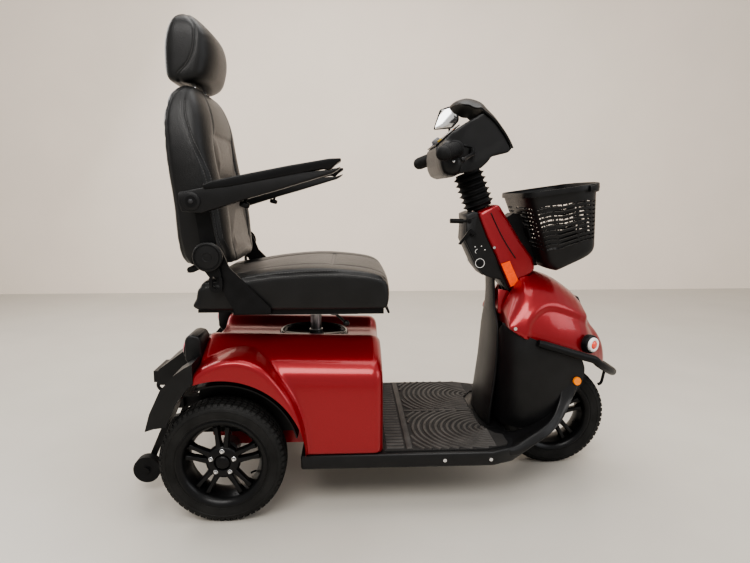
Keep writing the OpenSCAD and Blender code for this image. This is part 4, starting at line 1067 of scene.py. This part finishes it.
def headrest():
    F = [(1152, -518), (1158, -497), (1170, -478), (1205, -465), (1235, -460.5), (1270, -465), (1294, -477), (1315, -497), (1331, -515), (1342, -533)]
    R = [(1152, -562), (1158, -582), (1172, -594), (1212, -597), (1250, -596), (1275, -591), (1296, -584), (1316, -574), (1333, -562), (1342, -550)]
    W = [(1152, 117), (1159, 125), (1170, 129), (1215, 130), (1268, 130), (1296, 127), (1318, 116), (1333, 92), (1342, 62)]
    zs = [1152.5, 1154.5, 1158, 1165, 1178, 1196, 1218, 1240, 1260, 1280, 1294, 1306, 1317, 1326, 1334, 1339, 1342]
    rings = []
    N = 48
    for z in zs:
        xf, xb, w = smooth_tab(F, z), smooth_tab(R, z), smooth_tab(W, z)
        mid, hd = (xf + xb) / 2, (xf - xb) / 2
        ring = []
        for k in range(N):
            a = 2 * math.pi * k / N
            c, s = math.cos(a), math.sin(a)
            ex = 2 / (3.0 if c > 0 else 5.5)
            ring.append((mid + hd * math.copysign(abs(c) ** ex, c), w * math.copysign(abs(s) ** ex, s), z))
        rings.append(ring)
    o = loft("headrest_pad", rings, LEATHER)
    remesh(o, 4.5); relax(o, 3, 0.5); apply_all(o)
    seam = [(1150, -552), (1174, -551), (1197, -528), (1230, -511), (1271, -504), (1298, -507), (1317, -521), (1342, -540)]
    def dist(c):
        return abs(c[0] - smooth_tab(seam, c[2]))
    puff(o, lambda c: max(0.0, 1 - dist(c) / 7.0) if abs(c[1]) > 60 or c[2] > 1320 else 0.0, 8)
    me = o.data
    nrm = [v.normal.copy() for v in me.vertices]
    for v in me.vertices:
        k = math.exp(-(dist(v.co / MM) / 4.0) ** 2)
        v.co -= nrm[v.index] * (2.8 * k * MM)
    sub(o, 1); apply_all(o)
    smooth_angle(o, 180)
    ride(o, "headrest"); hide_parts("headrest_cushion")
    b = bvh_of(o)
    for s, nm in ((-1, "right"), (1, "left")):
        for j, off in enumerate((-4.5, 4.5)):
            pts, ns = [], []
            for i in range(60):
                z = 1172 + i * 150 / 59
                hit = b.ray_cast(Vector((smooth_tab(seam, z) + off, s * 230, z)) * MM, Vector((0, -s, 0)))
                if hit[0]:
                    pts.append(hit[0] / MM); ns.append(hit[1])
            stitches("headrest_stitch_%s_%d" % (nm, j), pts, ns, 6.5, 4.0, 0.5, "headrest")
    return o

# ------------------------------------------------------------------ basket
def basket():
    def plan(t, z):
        """Point of the wall at perimeter fraction t, height z."""
        k = (z - 637) / (880 - 637)
        xr = 475 + (392 - 475) * (z - 635) / (857 - 635)
        xfr = 634 + (620 - 634) * k
        hw = 118 + 42 * k
        cx, hx = (xr + xfr) / 2, (xfr - xr) / 2
        a = 2 * math.pi * t
        c, s = math.cos(a), math.sin(a)
        ex = 2 / (5.5 if c < 0 else 2.9)
        ey = 2 / (5.5 if c < 0 else 2.9)
        return cx + hx * math.copysign(abs(c) ** ex, c), hw * math.copysign(abs(s) ** ey, s)
    def floor_z(x):
        return lerp_tab([(470, 640), (498, 636), (636, 697)], x)
    def rim_z(x):
        return lerp_tab([(390, 857), (620, 890)], x)
    NU, NVV = 360, 134
    v = []
    for j in range(NVV + 1):
        q = j / NVV
        for i in range(NU):
            x, y = plan(i / NU, 700 + 150 * q)
            for _ in range(3):
                z = floor_z(x) + (rim_z(x) - 6 - floor_z(x)) * q
                x, y = plan(i / NU, z)
            # rounded foot
            if q < 0.12:
                k = 1 - math.sqrt(max(0, 1 - (1 - q / 0.12) ** 2))
                x = 545 + (x - 545) * (1 - 0.10 * k); y = y * (1 - 0.10 * k)
            v.append((x, y, z))
    f = []
    import math as m
    def slot_here(i, q):
        """True where a slot is cut: long arched louvres on every wall."""
        u = (i + 0.5) / NU
        a = 2 * math.pi * u
        arch = 0.045 * math.sin(math.pi * ((u * 4 + 0.5) % 1.0))
        qq = q - arch
        if qq < 0.235 or qq > 0.80:
            return False
        row = (qq - 0.235) / 0.0595
        if ((row + (0.5 if math.sin(a) > 0.35 else 0)) % 1.0) > 0.40:
            return False
        back = math.cos(a) < -0.55
        fr = (u * (36 if back else 30) + (int(row) % 2) * 0.08) % 1.0
        if abs(abs(math.atan2(math.sin(a), math.cos(a))) - 2.36) < 0.10:
            return False
        return 0.08 < fr < 0.90
    for j in range(NVV):
        q = (j + 0.5) / NVV
        for i in range(NU):
            if slot_here(i, q):
                continue
            a = j * NU + i
            b = j * NU + (i + 1) % NU
            f.append([a, b, b + NU, a + NU])
    # floor
    c0 = len(v)
    v.append((548, 0, 664))
    for i in range(NU):
        f.append([c0, (i + 1) % NU, i])
    o = mesh_obj("basket_walls", v, f, BLACK)
    solidify(o, 3.6, -1.0)
    apply_all(o)
    bm = bmesh.new(); bm.from_mesh(o.data)
    loose = [x for x in bm.verts if not x.link_faces]
    bmesh.ops.delete(bm, geom=loose, context="VERTS")
    bmesh.ops.recalc_face_normals(bm, faces=bm.faces)
    bm.to_mesh(o.data); bm.free()
    smooth_angle(o, 40)
    parts = [o]
    # the rolled rim
    def loop(dz, out, r, tall, nm):
        rings = []
        M = 160
        prof = [(out, -tall / 2), (out + r, -tall / 2), (out + r + 0.8, 0), (out + r, tall / 2), (out, tall / 2), (-2.2, tall / 2), (-2.2, -tall / 2)]
        for i in range(M):
            u = i / M
            x, y = plan(u, 860)
            for _ in range(3):
                z = rim_z(x) + dz
                x, y = plan(u, z)
            x2, y2 = plan((u + 0.002), z); x1, y1 = plan((u - 0.002), z)
            t = Vector((x2 - x1, y2 - y1, 0)).normalized()
            n = Vector((t.y, -t.x, 0))
            rings.append([(x + n.x * a, y + n.y * a, z + b) for a, b in prof])
        rings.append(rings[0])
        return loft(nm, rings, BLACK, cap=False)
    parts.append(loop(-6, 0.5, 3.2, 15, "rim"))
    o = join("basket_shell", parts)
    smooth_angle(o, 42)
    ride(o, "carrier_basket"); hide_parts("basket")
    # carrying handle lying on the front of the rim
    path = []
    for i in range(33):
        u = -0.19 + 0.38 * i / 32
        x, y = plan(u % 1.0, 880)
        path.append((x + 5.0, y * 1.035, rim_z(x) - 10))
    rings = []
    for i, p in enumerate(path):
        a, b = Vector(path[max(0, i - 1)]), Vector(path[min(32, i + 1)])
        t = (b - a).normalized(); n = Vector((t.y, -t.x, 0)).normalized()
        w = 13 if 3 < i < 29 else 9
        rings.append([(p[0] + n.x * q, p[1] + n.y * q, p[2] + z) for q, z in ((-2, -w), (2.6, -w + 1.5), (3.6, 0), (2.6, w - 1.5), (-2, w))])
    h = loft("basket_handle", rings, SATIN)
    bevel(h, 1.0, 2, 40); apply_all(h); smooth_angle(h, 45)
    ride(h, "carrier_basket")

# ------------------------------------------------------------------ mat and floor
def floor_mat():
    plan = [(-10, -278), (268, -278), (330, -254), (337.5, -240), (337.5, -184), (318, -176), (290, -128), (286, -124), (286, 124), (290, 128), (318, 176), (337.5, 184), (337.5, 240), (330, 254), (268, 278), (-10, 278)]
    n = len(plan)
    v = [(x, y, 166.2) for x, y in plan] + [(x, y, 169.6) for x, y in plan]
    f = [list(range(n))[::-1], list(range(n, 2 * n))] + [[i, (i + 1) % n, n + (i + 1) % n, n + i] for i in range(n)]
    # the base sheet between the ribs takes the darker groove colour: painted shade
    base = mesh_obj("mb", v, f, MAT_GROOVE_SHADE, smooth=False)
    parts = [base]
    def inside(x, y):
        if x < -6 or x > 333 or abs(y) > 274:
            return False
        if x > 268 and abs(y) > 274 - (x - 268) * 0.4:
            return False
        if x > 282 and abs(y) < 128 + (x - 290) * 1.7:
            return False
        return True
    def rib(pts, w=5.4, h=3.2, z=169.4):
        run = []
        runs = []
        for p in pts:
            if inside(*p):
                run.append(p)
            else:
                if len(run) > 3:
                    runs.append(run)
                run = []
        if len(run) > 3:
            runs.append(run)
        for run in runs:
            vv, ff = [], []
            for i, p in enumerate(run):
                a, b = Vector(run[max(0, i - 1)]), Vector(run[min(len(run) - 1, i + 1)])
                t = (b - a).normalized(); nn = Vector((-t.y, t.x))
                for q, zz in ((-w, 0), (-w * 0.62, h), (w * 0.62, h), (w, 0)):
                    vv.append((p[0] + nn.x * q, p[1] + nn.y * q, z + zz))
            for i in range(len(run) - 1):
                for k in range(3):
                    a = i * 4 + k
                    ff.append([a, a + 1, a + 5, a + 4])
            ff.append([0, 1, 2, 3]); ff.append([len(vv) - 1, len(vv) - 2, len(vv) - 3, len(vv) - 4])
            parts.append(mesh_obj("r", vv, ff, MAT, smooth=False))
    # straight ribs beside the cover
    for i in range(27):
        y = -260 + i * 20
        rib([(x, y) for x in range(-4, 46, 4)], 6.0)
    # flat band
    parts.append(box_obj("band", (50, -272, 169.3), (66, 272, 172.2), MAT, 0.8))
    # nested arches ahead, mirrored about a centre strip
    parts.append(box_obj("strip", (68, -5, 169.3), (284, 5, 172.2), MAT, 0.8))
    for s in (-1, 1):
        for r in range(14, 330, 17):
            pts = []
            for k in range(120):
                a = math.pi * (0.5 + 1.0 * k / 119)
                x, y = 300 + r * math.cos(a) * 1.0, s * (142 + r * math.sin(a) * -0.86)
                pts.append((x, y))
            pts = [p if (70 < p[0] and 9 < s * p[1]) else (999, 999) for p in pts]
            rib(pts)
    o = join("floor_mat_ribbed", parts)
    smooth_angle(o, 30)
    ride(o, "chassis"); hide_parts("floor_mat")

def floor_pan():
    plan = [(-236, -292), (285, -292), (345, -268), (392, -222), (410, -152), (360, -150), (360, 150), (410, 152), (392, 222), (345, 268), (285, 292), (-236, 292)]
    sm = []
    for i, p in enumerate(plan):
        sm.append(p)
    n = len(sm)
    v = [(x, y, 126) for x, y in sm] + [(x, y, 166) for x, y in sm]
    f = [list(range(n))[::-1], list(range(n, 2 * n))] + [[i, (i + 1) % n, n + (i + 1) % n, n + i] for i in range(n)]
    o = mesh_obj("pan_body", v, f, BLACK, smooth=False)
    bevel(o, 6, 4, 25); apply_all(o); smooth_angle(o, 40)
    parts = [o]
    for s in (-1, 1):
        # toe board: a wide apron that rises along the wheel arch into the knee shell
        inner = [(320, 160, 167), (372, 160, 172), (410, 162, 186), (440, 164, 205), (470, 166, 226), (497, 166, 252), (516, 160, 290), (528, 152, 335), (530, 138, 386)]
        ridge = [(322, 268, 166), (355, 262, 169), (391, 250, 185), (435, 235, 205), (470, 215, 225), (497, 188, 262), (510, 174, 305), (524, 163, 345), (534, 148, 388)]
        outer = [(330, 275, 160), (362, 268, 158), (402, 254, 171), (446, 240, 190), (485, 219, 212), (514, 194, 250), (532, 176, 298), (545, 165, 345), (548, 150, 388)]
        lower = [(334, 272, 136), (370, 265, 139), (420, 252, 166), (462, 239, 190), (502, 218, 224), (536, 192, 268), (560, 173, 306), (570, 161, 345), (566, 146, 388)]
        under = [(330, 166, 136), (384, 166, 150), (430, 166, 170), (470, 166, 198), (506, 164, 228), (540, 160, 270), (564, 152, 308), (574, 146, 345), (566, 136, 388)]
        cols = [catmull([(x, s * y, z) for x, y, z in c], 5) for c in (inner, ridge, outer, lower, under)]
        rings = []
        for i in range(len(cols[0])):
            a, b, c, d, e = [cols[k][i] for k in range(5)]
            dish = (a + b) / 2 - Vector((0, 0, 5))
            r = [a, a.lerp(dish, 0.5), dish, b.lerp(dish, 0.25), b, b.lerp(c, 0.5), c, c.lerp(d, 0.5), d, e]
            rings.append([tuple(p) for p in (r if s > 0 else r[::-1])])
        q = loft("toe", rings, BLACK)
        sub(q, 1); apply_all(q); smooth_angle(q, 60)
        parts.append(q)
    o = join("floor_pan_body", parts)
    ride(o, "chassis"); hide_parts("floor_pan")

def bumper():
    pts = [(428, -191.5, 441), (470, -189, 428), (520, -186.5, 412), (565, -184, 398)]
    for k in range(-6, 7):
        a = math.pi / 2 * k / 6
        pts.append((597 + 121 * math.cos(a) ** 1.45, 182 * math.copysign(abs(math.sin(a)) ** 0.95, math.sin(a)), 388 - 78 * math.cos(a) ** 1.3))
    pts += [(565, 184, 398), (520, 186.5, 412), (470, 189, 428), (428, 191.5, 441)]
    o = tube("bumper_tube", pts, lambda t: 11.6 if 0.01 < t < 0.99 else 10.2, STEELB, 28, 5)
    smooth_angle(o, 50)
    ride(o, "chassis"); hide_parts("bumper_bar")
    st = tube("bumper_stay", [(717, 0, 306), (712, 0, 278), (707, 0, 256), (697, 0, 249)], 4.6, STEELB, 14, 6)
    ride(st, "chassis")
    for s, nm in ((-1, "right"), (1, "left")):
        q = tube("bumper_mount_" + nm, [(470, s * 187, 427), (470, s * 176, 427)], 7, STEELB, 20, 4)
        ride(q, "chassis")

def lamps():
    a = math.radians(61.7)
    for s, nm in ((-1, "right"), (1, "left")):
        d = Vector((math.cos(a), s * math.sin(a), 0))
        O = (598.5, s * 143.8, 424)
        bz = revolve("side_lamp_bezel_" + nm, [(27.5, -9), (27.5, 5), (26.0, 8.6), (22.5, 10.0), (20.8, 9.0), (20.8, -9)], SATIN, O, tuple(d), 56, closed=True)
        ring = revolve("side_lamp_ring_" + nm, [(21.2, 2), (21.2, 13.2), (20.0, 15.6), (17.2, 16.8), (13.6, 16.6), (12.2, 15.2), (12.0, 2)], WHITE, O, tuple(d), 56, closed=True)
        ln = revolve("side_lamp_lens_" + nm, [(0.3, 19.8), (4.5, 19.4), (8.4, 18.2), (11.0, 16.4), (11.9, 14.0), (11.9, 4)], REDLENS, O, tuple(d), 48)
        for q, sl in ((bz, "black_plastic"), (ring, "lamp_white"), (ln, "lamp_red")):
            smooth_angle(q, 45)
            ride(q, "chassis")
        if s < 0:
            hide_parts("lamp_bezels"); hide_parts("lamp_lenses")
        # rear lamp
        O = (-541, s * 205, 448)
        b2 = revolve("rear_lamp_ring_" + nm, [(28, -3), (28, 3), (26.5, 5), (24.5, 5), (24.2, -3)], SATIN, O, (-1, 0, 0.18), 56, closed=True)
        l2 = revolve("rear_lamp_lens_" + nm, [(0.3, 13.0), (9, 12.3), (16, 10.2), (21, 7.4), (23.8, 4.2), (24.2, -2)], PINK, O, (-1, 0, 0.18), 56)
        for q, sl in ((b2, "black_plastic"), (l2, "lamp_red")):
            smooth_angle(q, 45)
            ride(q, "chassis")
        if s < 0:
            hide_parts("rear_lamps")
    for s, nm in ((-1, "right"), (1, "left")):
        n = Vector((0.16, s * 0.98, 0.08)).normalized()
        O = (555, s * 170.5, 321)
        q = revolve("reflector_" + nm, [(12.2, -6), (12.2, 3.0), (11.5, 4.2), (10.6, 4.2), (10.4, 3.6), (0.3, 3.6)], AMBER, O, tuple(n), 40)
        smooth_angle(q, 40)
        ride(q, "chassis")
    # headlamp strip in the nose
    q = prism("headlamp_bezel", [(590, 546), (600, 524), (606, 489), (616.5, 487), (612, 518), (600, 546)], -40, 40, GLOSSB, 2.5)
    ride(q, "chassis")
    q = prism("headlamp_lens", [(601, 538), (608, 516), (612, 496), (617.5, 496), (613.5, 518), (604, 540)], -32, 32, WHITE, 1.0)
    ride(q, "chassis")

def tail():
    for s, nm in ((-1, "right"), (1, "left")):
        y0, y1 = sorted((148 * s, 243.5 * s))
        h = prism("lamp_housing_" + nm, [(-541, 421), (-533, 408), (-516, 402), (-497, 402), (-497, 470), (-503, 484), (-520, 488), (-534, 485), (-541, 474)], y0, y1, BLACK, 12, 6)
        ride(h, "chassis")
        if s < 0:
            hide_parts("lamp_housings")

def shield():
    rings = []
    for z, x, w in [(168, 299, 113), (186, 300, 114), (230, 304, 114), (280, 310, 113), (332, 316, 112), (390, 320, 110), (440, 323, 104), (470, 325, 94), (490, 326, 82), (505, 326.5, 67), (520, 326.5, 57), (545, 327, 51), (570, 326.5, 49), (600, 325, 48), (609, 325, 47.5)]:
        ring = []
        for k in range(-14, 15):
            t = k / 14
            ring.append((x + 14 * w / 130 * abs(t) ** 2.6, t * w, z))
        rings.append(ring)
    o = loft("leg_shield_skin", rings, BLACK, closed=False)
    solidify(o, 8, 1.0); apply_all(o)
    # thickness goes forward
    if sum(v.co.x for v in o.data.vertices) / len(o.data.vertices) < 0.3:
        pass
    bevel(o, 2.5, 3, 50); apply_all(o)
    smooth_angle(o, 45)
    ride(o, "chassis"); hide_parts("leg_shield")

def recliner():
    for s, nm in ((-1, "right"), (1, "left")):
        O = (-465, 0, 698)
        q = revolve("recliner_cap_" + nm, [(37.5, 256), (38.5, 258), (38.5, 263.5), (37, 266), (33.5, 267), (32.5, 265.2), (30.5, 265.2), (29.5, 267), (12, 268.4), (10.5, 267), (8, 267), (0.3, 267.4)], BLACK, O, (0, s, 0), 64)
        smooth_angle(q, 35)
        ride(q, "backrest")

def arms():
    for s, nm in ((-1, "right"), (1, "left")):
        y0, y1 = sorted((246.4 * s, 303.6 * s))
        # lower beam and top pad
        beam = prism("ab", [(-512, 815), (-465, 812), (-416, 827), (-344, 849), (-273, 869), (-190, 894), (-144, 908), (-129, 917), (-122, 924), (-146, 916), (-178, 914), (-230, 909), (-300, 897), (-400, 880), (-452, 874), (-466, 872), (-517, 862), (-519, 838)], y0, y1, BLACK, 3.5, 4)
        y2, y3 = sorted((243.5 * s, 306.5 * s))
        pad = prism("ap", [(-455, 869), (-400, 875), (-330, 888), (-240, 905), (-165, 919), (-150, 916), (-136, 929), (-122, 938), (-121, 944.5), (-150, 943.5), (-250, 926.5), (-350, 907), (-440, 888.5), (-456, 884), (-459, 876)], y2, y3, SATIN, 3.5, 4)
        ride(pad, "arm_" + nm)
        pad.name = "armrest_pad_" + nm
        hub = revolve("ah", [(10, 240), (21, 240), (24, 243), (24, 300), (22, 305.4), (17, 307), (10, 307)], BLACK, (-488, 0, 840), (0, s, 0), 48, closed=True)
        o = join("armrest_beam_" + nm, [beam, hub])
        smooth_angle(o, 45)
        ride(o, "arm_" + nm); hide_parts("armrest_" + nm)
        bolt = revolve("arm_bolt_" + nm, [(0.3, 311.6), (5.4, 311.4), (6.6, 309.8), (6.6, 307.6), (9.5, 307.4), (9.8, 306.2)], DGREY, (-488, 0, 840), (0, s, 0), 6)
        ride(bolt, "backrest")
        kn = revolve("arm_knob_" + nm, [(4, 0), (4, -8), (11, -9), (13, -12), (13, -19), (11, -22), (0.3, -22.6)], SATIN, (-360, s * 275, 846), (0.25, 0, 1), 28)
        ride(kn, "arm_" + nm)

MIR = [(-65, -33), (33, -37), (65, -15), (63, 8), (22, 38), (-31, 32)]
def mirror():
    M = Matrix.Translation(Vector((0.229, 0.268, 1.113))) @ Matrix.Rotation(math.radians(210), 4, "Z")
    pts = []
    for k in range(len(MIR)):
        q0, q1, q2 = (Vector(MIR[(k + j) % len(MIR)]) for j in (-1, 0, 1))
        u, v = (q0 - q1).normalized(), (q2 - q1).normalized()
        a, b = q1 + u * 9, q1 + v * 9
        for j in range(7):
            t = j / 6
            w = a * (1 - t) ** 2 + q1 * 2 * t * (1 - t) + b * t * t
            pts.append((w.x, w.y))
    cy, cz = sum(p[0] for p in pts) / len(pts), sum(p[1] for p in pts) / len(pts)
    def ringat(x, g):
        out = []
        for y, z in pts:
            d = math.hypot(y - cy, z - cz)
            k = (d - g) / d
            out.append((x, cy + (y - cy) * k, cz + (z - cz) * k))
        return out
    o = loft("mirror_shell", [ringat(-13, 16), ringat(-12, 9), ringat(-8, 2.5), ringat(-3, 0), ringat(0.2, 0.4), ringat(0.6, 1.6), ringat(0.4, 4.6), ringat(-2.6, 5.0)], SATIN)
    o.data.transform(M); smooth_angle(o, 50)
    ride(o, "mirror"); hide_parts("mirror_housing")
    g = loft("mirror_face", [ringat(-2.4, 5.2), ringat(-1.0, 5.2), ringat(-0.7, 5.6)], MIRROR)
    g.data.transform(M); smooth_angle(g, 40)
    ride(g, "mirror"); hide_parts("mirror_glass")
    c = revolve("mirror_collar", [(0.3, 6.4), (6.8, 6.4), (8, 7.6), (8, 14.0), (6.6, 15.4), (0.3, 15.4)], SATIN, (246, 278.6, 1112), (0, 0, 1), 32)
    smooth_angle(c, 40)
    ride(c, "mirror")

def finish_cad():
    """Plain CAD nodes that stay: softened edges and their finish."""
    paint("main_frame", STEELB, 1.0)
    paint("rear_guards", BLACK, 3.0, 3)
    paint("rear_carrier", BLACK, 4.0, 3)
    paint("anti_tip_arms", STEELB, 1.2)
    paint("transaxle", CAST, 1.5)
    paint("batteries", CASE, 2.0)
    paint("side_indicators", ORANGE, 1.0)
    paint("fasteners", BRIGHT, 0.8)
    paint("basket_bracket", STEELB, 2.5, 3)
    paint("fork", STEELB, 2.0, 3)
    for n in ("anti_tip_wheel_right", "anti_tip_wheel_left"):
        paint(n, GRIP, 3.0, 3)
    paint("tiller_yoke", STEELB, 0.8)
    paint("dash_panel", SATIN, 1.0)
    paint("handlebar", STEELB)
    paint("throttle_lever", SATIN)
    paint("brake_lever", SATIN)
    paint("horn_button", YELLOW, 0.8)
    paint("lamp_button", BLUE, 0.8)
    paint("tilt_lever", SATIN, 1.5)
    paint("bag_hook", SATIN, 1.0)
    paint("seat_post", STEEL, 0.8)
    paint("seat_pan", STEELB, 1.5)
    paint("bail_lever", STEELB)
    paint("swivel_lever", SATIN)
    paint("backrest_frame", STEELB, 1.5)
    paint("recline_lever", SATIN, 2.5, 3)
    paint("headrest_posts", BRIGHT, 0.5)

# ------------------------------------------------------------------ build
rear_cover()
nose()
front_shells()
for nm, s in (("right", -1), ("left", 1)):
    tyre("rear_tread_" + nm, XR, 290 * s, s, "rear_tyre_" + nm, "rear_wheel_" + nm)
    rim("rear_wheel_disc_" + nm, XR, 290 * s, s, "rear_rim_" + nm, "rear_wheel_" + nm)
tyre("front_tread", XF, 0, -1, "front_tyre", "front_wheel")
rim("front_wheel_disc", XF, 0, -1, "front_rim", "front_wheel")
column()
bellows()
head()
dash()
mirror()
grips()
basket()
floor_mat()
floor_pan()
bumper()
lamps()
tail()
shield()
recliner()
arms()
finish_cad()
seat_cushion()
backrest()
headrest()

# ------------------------------------------------------------------ stage, light, camera
fl = mesh_obj("studio_floor", [(-9000, -9000, 0), (9000, -9000, 0), (9000, 9000, 0), (-9000, 9000, 0)], [[0, 1, 2, 3]],
              surface("pale_floor", (0.53, 0.50, 0.45), 0.38, vary=0.03, scale=3, bump=0.05, bump_scale=40, rough_vary=0.05), smooth=False)
wl = mesh_obj("studio_wall", [(-9000, 3200, -10), (9000, 3200, -10), (9000, 3200, 6000), (-9000, 3200, 6000)], [[0, 1, 2, 3]],
              surface("pale_wall", (0.92, 0.82, 0.72), 0.8, vary=0.02, scale=2, rough_vary=0.04), smooth=False)

w = bpy.data.worlds.new("studio")
bpy.context.scene.world = w
w.use_nodes = True
w.node_tree.nodes["Background"].inputs[0].default_value = (1.0, 0.975, 0.945, 1)
w.node_tree.nodes["Background"].inputs[1].default_value = 0.62

def area(name, loc, target, size, power, col=(1, 1, 1)):
    l = bpy.data.lights.new(name, "AREA")
    l.shape = "RECTANGLE"; l.size = size[0]; l.size_y = size[1]; l.energy = power; l.color = col
    o = bpy.data.objects.new(name, l)
    COL.objects.link(o)
    o.location = loc
    o.rotation_mode = "QUATERNION"
    o.rotation_quaternion = (Vector(target) - Vector(loc)).to_track_quat("-Z", "Y")
area("key", (-0.6, -2.6, 3.1), (0, 0, 0.4), (2.6, 1.6), 95, (1.0, 0.98, 0.95))
area("top", (0.3, 0.4, 3.4), (0.1, 0, 0.3), (3.2, 2.6), 75, (1.0, 0.99, 0.97))
area("fill", (2.8, -1.6, 1.8), (0, 0, 0.5), (1.8, 1.8), 26, (0.95, 0.97, 1.0))
area("back", (-2.6, 1.6, 2.2), (0, 0, 0.6), (1.8, 1.6), 30)

cam = bpy.data.cameras.new("camera")
co = bpy.data.objects.new("camera", cam)
COL.objects.link(co)
bpy.context.scene.camera = co
bpy.context.scene.view_settings.look = "AgX - Medium High Contrast"
cam.sensor_width = 36.0
cam.lens = 563.0 / 750 * 36
cam.clip_start, cam.clip_end = 0.05, 60
p, psi = math.radians(8.93), math.radians(2.6)
F = Vector((math.sin(psi) * math.cos(p), math.cos(psi) * math.cos(p), -math.sin(p)))
co.location = (-0.1019, -1.712, 0.86)
co.rotation_mode = "QUATERNION"
co.rotation_quaternion = F.to_track_quat("-Z", "Y")
